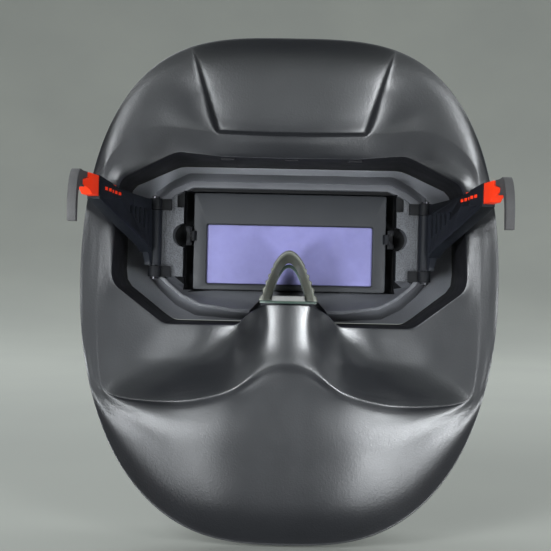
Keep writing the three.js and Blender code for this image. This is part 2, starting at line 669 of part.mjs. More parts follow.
// The panes of the cartridge, from the front to the wearer's side.
const PANES = {
  filter: { halfWidth: 49, low: -13.3, high: 22.8, y0: -30.1, y1: -28.7 },
  shutter: { halfWidth: 50, low: -13.5, high: 23.9, y0: -28.4, y1: -25.5 },
  innerLens: { halfWidth: 49, low: -13.4, high: 23, y0: -25.1, y1: -24 },
};
const SOLAR_CELL = { halfWidth: 26, low: 24.9, high: 36.6, y0: -30.1, y1: -29.3 };

function pane({ halfWidth, low, high, y0, y1 }, corner = 0.8) {
  return slab(rectangle(halfWidth, low, high, corner, 2), y0, y1);
}

function circuitBoard() {
  const { halfWidth, low, high, front, back } = BOARD;
  const board = slab(rectangle(halfWidth, low, high, 1, 2), front, back);
  const chip = block(-5, 5, back - 0.1, -24.4, 27.5, 34);
  const driver = block(26, 32, back - 0.1, -24.6, 28, 33.5);
  return joined(board, chip, driver);
}

function coinBattery(x) {
  const face = BOARD.back + GAP;
  const body = barAlongY(BATTERY.radius, x, ELECTRONICS_MIDDLE, face, face + 1.2, 24);
  const cap = barAlongY(BATTERY.capRadius, x, ELECTRONICS_MIDDLE, face + 1.1, face + 1.6, 24);
  return joined(body, cap);
}

// A domed light sensor that looks out of the front case.
function arcSensor(x) {
  const { radius, straight, dome, back } = SENSOR;
  const steps = 4;
  const profile = [[0, 0], [radius, 0], [radius, straight]];
  for (let i = 1; i < steps; i += 1) {
    const turn = Math.PI / 2 * i / steps;
    profile.push([radius * Math.cos(turn), straight + dome * Math.sin(turn)]);
  }
  profile.push([0, straight + dome]);
  const geometry = new THREE.LatheGeometry(profile.map(([r, h]) => new THREE.Vector2(r, h)), 20);
  geometry.rotateX(Math.PI);
  geometry.translate(x, back, ELECTRONICS_MIDDLE);
  return toSolid(withoutShading(geometry));
}

// A spring latch whose tooth hooks over the edge of the cartridge.
function cartridgeLatch() {
  const { low, high, inner, outer, back, front } = LATCH;
  const stem = block(inner, outer, front, back, low, high);
  const tooth = loft([
    { y: CARTRIDGE.back + GAP, outline: [[inner + 1, high - 2.5], [inner + 1, low + 2.5], [52.4, low + 2.5],
      [52.4, high - 2.5]] },
    { y: back, outline: [[inner + 1, high - 2.5], [inner + 1, low + 2.5], [53.6, low + 2.5],
      [53.6, high - 2.5]] },
  ]);
  const grip = block(inner + 0.8, outer - 0.8, back - 1, back + 1.4, low + 1, high - 1);
  const fingertip = barAlongY(2.6, outer, (low + high) / 2, -24, back + 2, 20);
  return cut(joined(stem, tooth, grip), fingertip);
}

// ---------------------------------------------------------------- nose pad

// Half of a parabolic arch from its top down to its base line.
function archHalf(halfWidth, top, base) {
  const steps = 10;
  const half = [];
  for (let i = 0; i <= steps; i += 1) {
    const share = i / steps;
    half.push([halfWidth * share, base + (top - base) * (1 - share ** 2)]);
  }
  return half;
}

// A band of even thickness round an arch, drawn from its left foot over the top to its right foot.
function archBand(halfWidth, top, base, wall) {
  const overTop = (half) => [...half.filter(([x]) => x > 0).map(([x, z]) => [-x, z]).reverse(), ...half];
  const outer = overTop(archHalf(halfWidth + wall, top + wall, base));
  const inner = overTop(archHalf(halfWidth, top, base));
  return [...outer, ...inner.reverse()];
}

function nosePad() {
  const bands = [
    { y: NOSE.far, halfWidth: 9.7, top: NOSE.top },
    { y: -5, halfWidth: 10.2, top: 1 },
    { y: -1, halfWidth: 11.4, top: 2.6 },
    { y: NOSE.near, halfWidth: 13.6, top: 4.7 },
  ];
  return loft(bands.map(({ y, halfWidth, top }) => ({
    y,
    outline: archBand(halfWidth, top, NOSE.base, NOSE.wall),
  })));
}

function noseClip() {
  const arch = slab(archBand(9.2, -2.6, -19, 2.1), -17.5, NOSE.far - GAP);
  const shelf = block(-9, 9, -24, -9.5, -20.6, -18.6);
  const crossbar = block(-10.9, 10.9, -17.5, -13, -20.6, -18.6);
  const head = block(-8.9, 8.9, -10, -4, -20.9, -17.9);
  const feet = block(-15.5, 15.5, -8, -4, -21.9, -20.6);
  return joined(arch, shelf, crossbar, head, feet);
}

// ---------------------------------------------------------------- temples

// Temples are drawn flat: x along the arm from the hinge axis, y towards the head, z up.
// This turns and moves one into place on the wearer's left.
function placedOnHinge(solid) {
  const geometry = toGeometry(solid);
  geometry.rotateZ(Math.PI / 2 - SPLAY);
  geometry.translate(HINGE.x, HINGE.y, 0);
  return toSolid(geometry);
}

const ARM_TOP = [[ARM.end, 39.8], [50, 36], [30, 34.5], [5, 33.6]];
const ARM_BOTTOM = [[5, -2.4], [9, 4.5], [14, 8], [30, 13.5], [52, 20.8], [ARM.end, 28.4]];

function ventSlot(x) {
  const low = VENTS.lowAtHinge + x * VENTS.lowRise;
  const { high, halfWidth } = VENTS;
  const steps = 4;
  const roundEnd = (z, up) => Array.from({ length: steps + 1 }, (_, i) => {
    const turn = Math.PI * i / steps;
    return [x + up * halfWidth * Math.cos(turn), z + up * halfWidth * Math.sin(turn)];
  });
  const outline = [...roundEnd(high - halfWidth, 1), ...roundEnd(low + halfWidth, -1)];
  return slab(outline, ARM.ribOuter - PAST, ARM.ribInner + PAST);
}

function templeArm() {
  const plate = slab([...ARM_TOP, ...ARM_BOTTOM], ARM.outer, ARM.inner);
  const root = block(0, 6, ARM.outer, ARM.inner, HINGE.low, HINGE.high);
  const barrel = bar(HINGE.radius, 0, 0, HINGE.low, HINGE.high);
  const under = ARM_BOTTOM.slice(1);
  const over = under.map(([x, z]) => [x, z + RIB_HEIGHT]).reverse();
  const rib = slab([...under, ...over], ARM.ribOuter, ARM.ribInner);
  const sleeve = slab([[ARM.end, 39.8], [ARM.end, 28.4], [58, 29.6], [58, 37.3]],
    ARM.sleeveOuter, ARM.sleeveInner);
  const pocket = block(LEG.pocketEnd, ARM.end + PAST, LEG.outer - GAP, LEG.inner + GAP, LEG.low - GAP,
    LEG.high + GAP);
  const legCover = slab([[ARM.end, 38.6], [ARM.end, 30.4], [46, 30.4], [46, 35.4]], ARM.sleeveOuter,
    ARM.inner + 0.2);
  const slots = Array.from({ length: VENTS.count }, (_, i) => ventSlot(VENTS.first + i * VENTS.pitch));
  const bores = [
    bar(PIN.bore, 0, 0, HINGE.low - PAST, HINGE.low + PIN.intoBarrel, 12),
    bar(PIN.bore, 0, 0, HINGE.high - PIN.intoBarrel, HINGE.high + PAST, 12),
  ];
  const solid = cut(joined(plate, root, barrel, rib, sleeve, legCover), ...slots, pocket, ...bores);
  return placedOnHinge(solid);
}

// The coloured slider: a leg inside the arm and an arrow-ended collar outside it.
function templeSlider() {
  const leg = block(LEG.start, ARM.end + 2, LEG.outer, LEG.inner, LEG.low, LEG.high);
  const start = ARM.end + GAP;
  const arrow = [[start, 39.5], [84, 40], [84, 37.4], [91.5, 35.7], [91.5, 34.3], [83, 31.7], [81, 30],
    [start, 29.6]];
  const collar = slab(arrow, COLLAR.outer, COLLAR.inner);
  return placedOnHinge(cut(joined(leg, collar), earTipCoreRoom()));
}

// The ear tip turns in towards the head: where a point of the straight tip ends up.
function turnedIn(x, y, z) {
  const along = Math.min(Math.max(x - TURN_IN.start, 0), TURN_IN.length);
  const radius = TURN_IN.length / TURN_IN.angle;
  const turn = along / radius;
  const beyond = Math.max(x - TURN_IN.start - TURN_IN.length, 0);
  const middleX = Math.min(x, TURN_IN.start) + radius * Math.sin(turn) + beyond * Math.cos(turn);
  const middleY = TURN_IN.middle + radius * (1 - Math.cos(turn)) + beyond * Math.sin(turn);
  const off = y - TURN_IN.middle;
  return [middleX - off * Math.sin(turn), middleY + off * Math.cos(turn), z];
}

// A strip that runs back along the temple, curls down behind the ear and turns in.
function curledStrip({ start, outer, inner, low, taper, y0, y1 }) {
  const stations = [];
  const straightSteps = 7;
  for (let i = 0; i < straightSteps; i += 1) {
    const x = start + (TIP.bendX - start) * i / straightSteps;
    stations.push([[x, TIP.bendZ + outer], [x, TIP.bendZ + inner]]);
  }
  const curlSteps = 10;
  for (let i = 0; i <= curlSteps; i += 1) {
    const turn = Math.PI / 2 * (1 - i / curlSteps);
    stations.push([outer, inner].map((radius) => (
      [TIP.bendX + radius * Math.cos(turn), TIP.bendZ + radius * Math.sin(turn)])));
  }
  stations.push([[TIP.bendX + outer - taper, low], [TIP.bendX + inner + taper, low]]);

  const points = stations.flatMap(([[xo, zo], [xi, zi]]) => [
    turnedIn(xo, y0, zo), turnedIn(xo, y1, zo), turnedIn(xi, y1, zi), turnedIn(xi, y0, zi)]);
  const index = [0, 2, 1, 0, 3, 2];
  for (let s = 0; s < stations.length - 1; s += 1) {
    for (let i = 0; i < 4; i += 1) {
      const a = s * 4 + i;
      const b = s * 4 + (i + 1) % 4;
      index.push(a, b, a + 4, b, b + 4, a + 4);
    }
  }
  const end = (stations.length - 1) * 4;
  index.push(end, end + 1, end + 2, end, end + 2, end + 3);
  const geometry = new THREE.BufferGeometry();
  geometry.setAttribute('position', new THREE.Float32BufferAttribute(points.flat(), 3));
  geometry.setIndex(index);
  return toSolid(geometry);
}

function earTipCoreRoom() {
  return curledStrip({ start: TIP.start - GAP, outer: CORE.outer + GAP, inner: CORE.inner - GAP,
    low: CORE.low - GAP, taper: 0, y0: CORE.y0 - GAP, y1: CORE.y1 + GAP });
}

function earTip() {
  const strip = curledStrip(TIP);
  const { end } = ARM;
  const collarRoom = slab([[end, 45], [84.4, 45], [84.4, 37.7], [91.9, 35.95], [91.9, 34.05], [83.3, 31.35],
    [81.3, 29.6], [end, 25]], TIP.y0 - PAST, TIP.y1 + PAST);
  return placedOnHinge(cut(strip, collarRoom, earTipCoreRoom()));
}

function earTipCore() {
  return placedOnHinge(curledStrip({ ...CORE, start: TIP.start, taper: 0 }));
}

function hingePin(upper) {
  const { x, y } = HINGE;
  const outerFace = upper ? HINGE.high + LUG.gap + LUG.height : HINGE.low - LUG.gap - LUG.height;
  const away = upper ? 1 : -1;
  const span = (a, b) => [Math.min(a, b), Math.max(a, b)];
  const inner = upper ? HINGE.high - PIN.intoBarrel + 0.5 : HINGE.low + PIN.intoBarrel - 0.5;
  const shaft = bar(PIN.radius, x, y, ...span(inner, outerFace + away * 0.5), 12);
  const head = bar(PIN.headRadius, x, y,
    ...span(outerFace + away * GAP, outerFace + away * (GAP + PIN.headHeight)), 16);
  return joined(shaft, head);
}

// ---------------------------------------------------------------- assembly

function piece(name, solid, material) {
  const mesh = new THREE.Mesh(toGeometry(solid), material);
  mesh.name = name;
  return mesh;
}

// A left piece and its mirror image on the right.
function pair(name, solid, material) {
  return [piece(`${name}_left`, solid, material), piece(`${name}_right`, mirrored(solid), material)];
}

const helmet = new THREE.Group();

helmet.add(piece('mask_shell', maskShell(), MATERIALS.shell));

helmet.add(
  piece('goggle_frame', goggleFrame(), MATERIALS.frame),
  piece('bay_seal', baySeal(), MATERIALS.foam),
  piece('front_bezel', frontBezel(), MATERIALS.frame),
  piece('front_cover_lens', frontCoverLens(), MATERIALS.clearLens),
  piece('front_lens_gasket', frontLensGasket(), MATERIALS.foam),
);
screwPlaces().forEach((place, i) => {
  helmet.add(piece(`bezel_screw_${i + 1}`, bezelScrew(place), MATERIALS.steel));
});

helmet.add(
  piece('cartridge_front_case', cartridgeFrontCase(), MATERIALS.case),
  piece('cartridge_back_case', cartridgeBackCase(), MATERIALS.case),
  piece('uv_ir_filter', pane(PANES.filter), MATERIALS.filterGlass),
  piece('lcd_shutter', pane(PANES.shutter), MATERIALS.shutterGlass),
  piece('inner_cover_lens', pane(PANES.innerLens), MATERIALS.violetGlass),
  piece('solar_cell', pane(SOLAR_CELL, 0), MATERIALS.solar),
  piece('circuit_board', circuitBoard(), MATERIALS.board),
  ...pair('arc_sensor', arcSensor(SENSOR.x), MATERIALS.sensor),
  ...pair('battery', coinBattery(BATTERY.x), MATERIALS.steel),
  ...pair('cartridge_latch', cartridgeLatch(), MATERIALS.temple),
);

helmet.add(
  piece('nose_clip', noseClip(), MATERIALS.temple),
  piece('nose_pad', nosePad(), MATERIALS.nosePad),
);

helmet.add(
  ...pair('temple_arm', templeArm(), MATERIALS.temple),
  ...pair('temple_slider', templeSlider(), MATERIALS.slider),
  ...pair('ear_tip', earTip(), MATERIALS.rubber),
  ...pair('ear_tip_core', earTipCore(), MATERIALS.steel),
  ...pair('hinge_pin_upper', hingePin(true), MATERIALS.steel),
  ...pair('hinge_pin_lower', hingePin(false), MATERIALS.steel),
);

export default helmet;
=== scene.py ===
# Looks of the welding helmet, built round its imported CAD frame. The wearer's side faces +Y.
# Lengths are in millimetres and become metres through MM. The studio's are in metres.

import json
import math

import bmesh
import bpy
import numpy as np
from mathutils import Matrix, Vector


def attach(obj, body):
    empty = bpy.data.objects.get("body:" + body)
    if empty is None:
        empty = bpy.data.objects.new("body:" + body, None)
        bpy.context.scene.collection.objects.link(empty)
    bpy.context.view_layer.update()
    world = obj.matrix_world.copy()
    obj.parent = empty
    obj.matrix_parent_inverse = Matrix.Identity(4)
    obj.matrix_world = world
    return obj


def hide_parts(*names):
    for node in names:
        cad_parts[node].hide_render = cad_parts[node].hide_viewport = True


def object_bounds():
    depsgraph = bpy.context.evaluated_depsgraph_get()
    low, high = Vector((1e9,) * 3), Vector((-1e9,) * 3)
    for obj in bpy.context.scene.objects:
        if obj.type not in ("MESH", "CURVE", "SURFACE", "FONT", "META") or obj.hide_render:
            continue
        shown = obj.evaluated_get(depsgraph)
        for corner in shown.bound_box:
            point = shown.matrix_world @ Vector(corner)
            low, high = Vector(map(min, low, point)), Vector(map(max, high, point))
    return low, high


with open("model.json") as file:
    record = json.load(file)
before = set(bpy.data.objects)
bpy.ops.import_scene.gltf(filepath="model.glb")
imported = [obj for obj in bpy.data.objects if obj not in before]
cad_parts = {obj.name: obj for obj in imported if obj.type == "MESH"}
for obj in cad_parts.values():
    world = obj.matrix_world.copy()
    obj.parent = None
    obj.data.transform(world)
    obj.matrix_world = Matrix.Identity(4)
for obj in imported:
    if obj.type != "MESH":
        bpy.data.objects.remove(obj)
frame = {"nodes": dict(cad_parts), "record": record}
CAD_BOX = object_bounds()
NODES = frame["nodes"]
MM = 0.001

# ---------------------------------------------------------------- mask shell, as in the CAD part

RIM_HALF_WIDTH, RIM_MIDDLE, RIM_UP, RIM_DOWN = 109.3, -12.8, 128.5, 133.6
RIM_POWERS_ABOVE, RIM_POWERS_BELOW = (3.35, 2.2), (2.87, 2.0)  # of the rim's width and its height
RIM_FRONT, RIM_FRONT_HEIGHT = 19, -5  # y and z of the rim where it stands furthest forward
RIM_BEND_ABOVE, RIM_BEND_BELOW = 7, 4  # how far it comes back over RIM_BEND_REACH of height
RIM_BEND_REACH = 125
SHELL_THICKNESS = 2.5
MOST_SLANT = 1.9  # most that a slanted wall is thickened along Y
BAY_FRONT, BAY_FLOOR, BAY_WALL = -36.0, -33.5, 2.5
LIP_DROP = 2.2  # depth of the lip at the mouth of the bay
TONGUE_START = 8  # section where the nose tongue begins
CORNER_SHARE = 0.14  # share of a side that each rounded corner takes

# A section is a line on the wearer's side. It runs from the bay's mouth, where v is 0, over a
# feature line at v = 1 to the rim at v = 2. Its depths are y at each of DEPTH_AT before the rim.
DEPTH_AT = [0, 0.1, 0.4, 0.7, 1, 1.04, 1.5, 1.86, 2]
# mouth, bay, feature, rim angle, depths: from the top of the forehead round to the chin
SECTIONS = [
    ((0, 55), (0, 54.6), (0, 68), 0, (13, 12, 9.5, 7.6, 6.5, 2, 7.2, 15.5)),
    ((36, 55.3), (36, 54.6), (38.7, 68), 26, (13.5, 12.7, 11.6, 11, 10.8, 6.2, 11, 18.8)),
    ((38, 55.5), (38, 54.6), (40.4, 68.4), 27, (13.5, 12.8, 11.8, 11.3, 11.2, 11.3, 14, 20.8)),
    ((60.5, 57.5), (62.8, 54.6), (69, 71), 41.5, (13.4, 13.4, 13.5, 13.8, 14.4, 14.6, 17.6, 21)),
    ((91.5, 42.5), (91.5, 41.5), (98.5, 47), 61.6, (10.5, 12, 14, 15.4, 16.2, 16.3, 17.8, 19.4)),
    ((94, -12), (93.5, -12), (100.5, -15), 92, (14, 14.3, 15, 15.8, 16.6, 16.7, 17.8, 18.5)),
    ((66, -33.5), (66, -33.5), (96, -69), 112.6, (12.5, 12.8, 14.2, 16.4, 18.7, 18.8, 19.3, 19.8)),
    ((46, -33.5), (46, -33.5), (60, -77.5), 131, (13, 13.6, 13.2, 4, -5.5, -2, 7.5, 15)),
    ((27, -33.5), (27, -33.5), (31, -72), 153.6, (9, 8.5, 3, -6, -13.5, -11.2, -2.4, 12.4)),
    ((21.5, -27.5), (20, -33.5), (22, -66), 161, (2.5, 2, -4, -11, -16.9, -13.9, -4.8, 10.3)),
    ((12.5, -22.7), (11, -33.5), (12, -59.2), 170, (-13.2, -13.5, -14.8, -16.2, -18.3, -15.7, -6.7, 8.9)),
    ((0, -22.7), (0, -33.5), (0, -56), 180, (-15.5, -15.8, -17, -18.3, -19.6, -16.4, -7.3, 8.5)),
]
LAST = len(SECTIONS) - 1
MOUTH, BAY, FEATURE = (np.array([section[i] for section in SECTIONS], float) for i in range(3))
RIM_ANGLES = [section[3] for section in SECTIONS]
DEPTHS = np.array([section[4] for section in SECTIONS], float)


def section_knots():
    """How far along the loop each section lies, between its mouth and its feature line."""
    steps = [
        (np.linalg.norm(MOUTH[k] - MOUTH[k - 1]) + np.linalg.norm(FEATURE[k] - FEATURE[k - 1])) / 2
        for k in range(1, len(SECTIONS))
    ]
    return np.concatenate([[0], np.cumsum(steps)])


KNOTS = section_knots()


def monotone(knots, values, at):
    """Smooth curve through values that never overshoots them."""
    knots, values, at = (np.asarray(a, float) for a in (knots, values, at))
    step = np.diff(knots)
    slope = np.diff(values) / step
    tangent = np.empty(len(knots))
    tangent[0], tangent[-1] = slope[0], slope[-1]
    for i in range(1, len(knots) - 1):
        before, after = slope[i - 1], slope[i]
        if before * after <= 0:
            tangent[i] = 0
            continue
        weight_before, weight_after = 2 * step[i] + step[i - 1], step[i] + 2 * step[i - 1]
        tangent[i] = (weight_before + weight_after) / (weight_before / before + weight_after / after)
    k = np.clip(np.searchsorted(knots, at, side="left") - 1, 0, len(knots) - 2)
    t = (at - knots[k]) / step[k]
    rise = values[k] * (2 * t**3 - 3 * t**2 + 1) + values[k + 1] * (3 * t**2 - 2 * t**3)
    lean = tangent[k] * (t**3 - 2 * t**2 + t) + tangent[k + 1] * (t**3 - t**2)
    return rise + step[k] * lean


def over_centre(values, sign, at, first=None, last=None):
    """One quantity of the sections, interpolated and carried on past the centre line at both ends.

    The values past the ends are the mirrored ones times sign, unless first and last give them.
    """
    values = np.asarray(values, float)
    knots = np.concatenate([[-KNOTS[1]], KNOTS, [2 * KNOTS[-1] - KNOTS[-2]]])
    ends = [sign * values[1] if first is None else first, sign * values[-2] if last is None else last]
    return monotone(knots, np.concatenate([[ends[0]], values, [ends[1]]]), at)


def along_loop(place):
    """Turns places in section numbers into distances along the loop."""
    k = np.minimum(np.floor(place).astype(int), LAST - 1)
    return KNOTS[k] + (KNOTS[k + 1] - KNOTS[k]) * (place - k)


def on_sides(line, place):
    """Points on a line of straight sides with rounded corners, at places in section numbers."""
    out = np.empty((len(place), 2))
    for i, p in enumerate(place):
        corner = int(math.floor(p + 0.5))
        off = p - corner
        if 0 < corner < LAST and abs(off) < CORNER_SHARE:
            t = (off + CORNER_SHARE) / (2 * CORNER_SHARE)
            here = line[corner]
            start = here + (line[corner - 1] - here) * CORNER_SHARE
            end = here + (line[corner + 1] - here) * CORNER_SHARE
            before, after = start + (here - start) * t, here + (end - here) * t
            out[i] = before + (after - before) * t
        else:
            k = min(int(math.floor(p)), LAST - 1)
            out[i] = line[k] + (line[k + 1] - line[k]) * (p - k)
    return out


def rim_point(degrees):
    """Points on the rim, which is the curve where width ** p + height ** q is 1."""
    halvings = 40
    turn = np.radians(degrees)
    side, up = np.sin(turn), np.cos(turn)
    p = np.where(up > 0, RIM_POWERS_ABOVE[0], RIM_POWERS_BELOW[0])
    q = np.where(up > 0, RIM_POWERS_ABOVE[1], RIM_POWERS_BELOW[1])
    near, far = np.ones_like(turn), np.full_like(turn, math.sqrt(2))
    for _ in range(halvings):
        reach = (near + far) / 2
        inside = np.abs(side * reach) ** p + np.abs(up * reach) ** q < 1
        near, far = np.where(inside, reach, near), np.where(inside, far, reach)
    return np.stack([RIM_HALF_WIDTH * side * near,
                     RIM_MIDDLE + np.where(up > 0, RIM_UP, RIM_DOWN) * up * near], -1)


def rim_depth(z):
    """The rim stands nearest the wearer at the forehead and the chin."""
    bend = np.where(z > 0, RIM_BEND_ABOVE, RIM_BEND_BELOW)
    return RIM_FRONT + bend * ((z - RIM_FRONT_HEIGHT) / RIM_BEND_REACH) ** 2


def inside_grid(places, vs):
    """Points of the wearer's side: one column for each place and one row for each v."""
    at = along_loop(places)
    mouth = on_sides(MOUTH, places)
    feature = np.stack([over_centre(FEATURE[:, 0], -1, at), over_centre(FEATURE[:, 1], 1, at)], -1)
    rim = rim_point(over_centre(RIM_ANGLES, 1, at, -RIM_ANGLES[1], 360 - RIM_ANGLES[-2]))
    depths = np.stack([*(over_centre(row, 1, at) for row in DEPTHS.T), rim_depth(rim[:, 1])], -1)
    grid = np.empty((len(places), len(vs), 3))
    for r, v in enumerate(vs):
        flat = mouth + (feature - mouth) * v if v <= 1 else feature + (rim - feature) * (v - 1)
        grid[:, r, 0], grid[:, r, 2] = flat[:, 0], flat[:, 1]
    to_feature = np.linalg.norm(feature - mouth, axis=1)
    to_rim = np.linalg.norm(rim - feature, axis=1)
    for c in range(len(places)):
        depth_reach, row_reach = (
            to_feature[c] * np.minimum(rows, 1) + to_rim[c] * np.maximum(np.subtract(rows, 1), 0)
            for rows in (DEPTH_AT, vs))
        grid[c, :, 1] = monotone(depth_reach, depths[c], row_reach)
    return grid


def relax(grid, rounds, rate=0.5, along=(0, 1), weight=None, wrap=(True, True)):
    """Evens out a grid's bends and leaves straight runs alone.

    The weight scales how far each point moves. An axis that doesn't wrap round keeps its ends.
    """
    tiny = 1e-9  # keeps points that coincide from dividing by nothing
    for _ in range(rounds):
        for axis in along:
            before, after = np.roll(grid, 1, axis), np.roll(grid, -1, axis)
            to_before = np.linalg.norm(before - grid, axis=-1, keepdims=True) + tiny
            to_after = np.linalg.norm(after - grid, axis=-1, keepdims=True) + tiny
            move = (before * to_after + after * to_before) / (to_before + to_after) - grid
            if not wrap[axis]:
                ends = [slice(None)] * 3
                ends[axis] = [0, -1]
                move[tuple(ends)] = 0
            grid = grid + move * (rate if weight is None else rate * weight)
    return grid


def mirrored_columns(half):
    """A whole loop of columns from the half that runs from the top to the bottom centre line."""
    other = half[1:-1][::-1].copy()
    other[..., 0] *= -1
    return np.concatenate([half, other])


# v of the wearer's rows, which lie closer together at the mouth, the feature line and the rim
INSIDE_ROWS = np.unique(np.concatenate([
    [0, 0.012, 0.03, 0.055, 0.085], np.linspace(0.12, 0.97, 30), [0.985, 1, 1.012, 1.025, 1.04, 1.055],
    np.linspace(1.08, 1.94, 36), [1.96, 1.975, 1.988, 2]]))
LIP_STEPS = (0.35, 0.8, 1.4, LIP_DROP)
UNDER_LIP_SHARES = (0.25, 0.5, 0.75, 1)
WALL_SHARES = (0.12, 0.3, 0.5, 0.7, 0.86, 0.94, 0.97, 0.985, 1)
FRONT_EDGE_SHARES = (0.15, 0.5, 0.85)
OUTER_WALL_SHARES = (0, 0.015, 0.03, 0.06, 0.14, 0.3, 0.5, 0.7, 0.86, 0.94, 0.98)
RIM_EDGE_SHARES = (0.15, 0.35, 0.65, 0.85)
OUTSIDE_SHARES = np.linspace(0, 0.98, 26)  # rows of the front side between the bay wall and v = 1
# rows of a finished loop from the lip to the front end of the bay, which get a darker material as painted
# shade
BAY_ROWS = range(len(INSIDE_ROWS) + 1, len(INSIDE_ROWS) + len(LIP_STEPS + UNDER_LIP_SHARES + WALL_SHARES))
WALL_FOOT = 0.1  # v where the bay's outer wall meets the front side
COLUMN_WIDTH, LEAST_COLUMNS = 1.15, 4
# The columns are evened out past the sharp forehead panel and away from the mouth.
PANEL_END, PANEL_FADE, PANEL_EVENING = 2.3, 0.7, 0.05
MOUTH_HELD, MOUTH_FADE = 0.05, 0.3
NUDGE = 0.02  # step in section numbers that finds a line's direction
STEEPEST = 0.1  # least share of a normal along Y that counts


def mask_places():
    """Places of half a loop's columns, in section numbers."""
    places = []
    for k in range(LAST):
        count = max(LEAST_COLUMNS, int(round((KNOTS[k + 1] - KNOTS[k]) / COLUMN_WIDTH)))
        places.append(k + np.arange(count) / count)
    return np.concatenate([*places, [LAST]])


def shell_sides(places):
    """The wearer's side, evened out, and the front side a wall's thickness before it."""
    inner = mirrored_columns(inside_grid(places, INSIDE_ROWS))
    place = np.concatenate([places, places[1:-1][::-1]])
    past_panel = np.clip((place - PANEL_END) / PANEL_FADE, PANEL_EVENING, 1)
    off_mouth = np.clip((INSIDE_ROWS - MOUTH_HELD) / MOUTH_FADE, 0, 1)
    evening = past_panel[:, None, None] * off_mouth[None, :, None]
    inner = relax(inner, rounds=24, along=(0,), weight=evening, wrap=(True, False))
    inner = relax(inner, rounds=2, along=(1,), wrap=(True, False))
    inner = relax(inner, rounds=2, rate=0.4, wrap=(True, False))

    onward, outward = np.roll(inner, -1, 0) - np.roll(inner, 1, 0), np.gradient(inner, axis=1)
    normal = np.cross(onward, outward)
    normal /= np.linalg.norm(normal, axis=-1, keepdims=True)
    slant = np.minimum(1 / np.maximum(np.abs(normal[..., 1]), STEEPEST), MOST_SLANT)
    outer = inner.copy()
    outer[..., 1] -= SHELL_THICKNESS * slant
    return inner, outer


def towards(start, end, shares):
    """Points at shares of the way from start to end."""
    return [start + (end - start) * share for share in shares]


def at_row(column, v):
    """The point of a column at v."""
    return np.array([np.interp(v, INSIDE_ROWS, column[:, axis]) for axis in range(3)])


def row_at_height(column, z):
    """The v where a column that runs downwards passes z."""
    return np.interp(-z, -column[:, 2], INSIDE_ROWS)


def mask_loop(inner, outer, bay_front, bay_outer, on_tongue):
    """One closed loop of points: wearer's side, lip, bay wall, its outer face and the front side."""
    wearers = list(inner[::-1])
    lip = [inner[0] - np.array([0, step, 0]) for step in LIP_STEPS]
    wall_top = lip[-1] - np.array([0, LIP_DROP, 0])
    foot = WALL_FOOT
    if on_tongue:
        wall_top = at_row(outer, row_at_height(inner, BAY_FLOOR))
        wall_top[1] = min(wall_top[1], lip[-1][1] - LIP_DROP)
        foot = max(foot, row_at_height(inner, BAY_FLOOR - 2 * BAY_WALL))
    outside_rows = np.concatenate([foot + (1 - foot) * OUTSIDE_SHARES, INSIDE_ROWS[INSIDE_ROWS >= 1]])
    outside = [at_row(outer, v) for v in outside_rows]
    return [
        *wearers, *lip,
        *towards(lip[-1], wall_top, UNDER_LIP_SHARES),
        *towards(wall_top, bay_front, WALL_SHARES),
        *towards(bay_front, bay_outer, FRONT_EDGE_SHARES),
        *towards(bay_outer, outside[0], OUTER_WALL_SHARES),
        *outside,
        *towards(outside[-1], wearers[0], RIM_EDGE_SHARES),
    ]


def mask_grid():
    """The whole shell as one grid of points that is closed both ways."""
    places = mask_places()
    inner, outer = shell_sides(places)
    bay = on_sides(BAY, places)
    onward = (on_sides(BAY, np.minimum(places + NUDGE, LAST))
              - on_sides(BAY, np.maximum(places - NUDGE, 0)))
    onward /= np.linalg.norm(onward, axis=1, keepdims=True)
    loops = []
    for c, place in enumerate(places):
        bay_front = np.array([bay[c, 0], BAY_FRONT, bay[c, 1]])
        bay_outer = bay_front + np.array([-onward[c, 1], 0, onward[c, 0]]) * BAY_WALL
        loops.append(mask_loop(inner[c], outer[c], bay_front, bay_outer, place > TONGUE_START))
    return relax(mirrored_columns(np.array(loops)), rounds=2, along=(1,))


def grid_mesh(name, grid, material):
    """A mesh from a grid that is closed both ways."""
    columns, rows = grid.shape[:2]
    index = np.arange(columns * rows).reshape(columns, rows)
    faces = np.stack([index, np.roll(index, -1, 1), np.roll(np.roll(index, -1, 0), -1, 1),
                      np.roll(index, -1, 0)], -1).reshape(-1, 4)
    mesh = bpy.data.meshes.new(name)
    mesh.from_pydata((grid.reshape(-1, 3) * MM).tolist(), [], faces.tolist())
    mesh.validate()
    mesh.shade_smooth()
    piece = bpy.data.objects.new(name, mesh)
    bpy.context.scene.collection.objects.link(piece)
    piece.data.materials.append(material)
    fix_normals(piece)
    return piece


def fix_normals(piece):
    """Turns every face outwards."""
    mesh = bmesh.new()
    mesh.from_mesh(piece.data)
    bmesh.ops.recalc_face_normals(mesh, faces=mesh.faces)
    mesh.to_mesh(piece.data)
    mesh.free()


# ---------------------------------------------------------------- materials


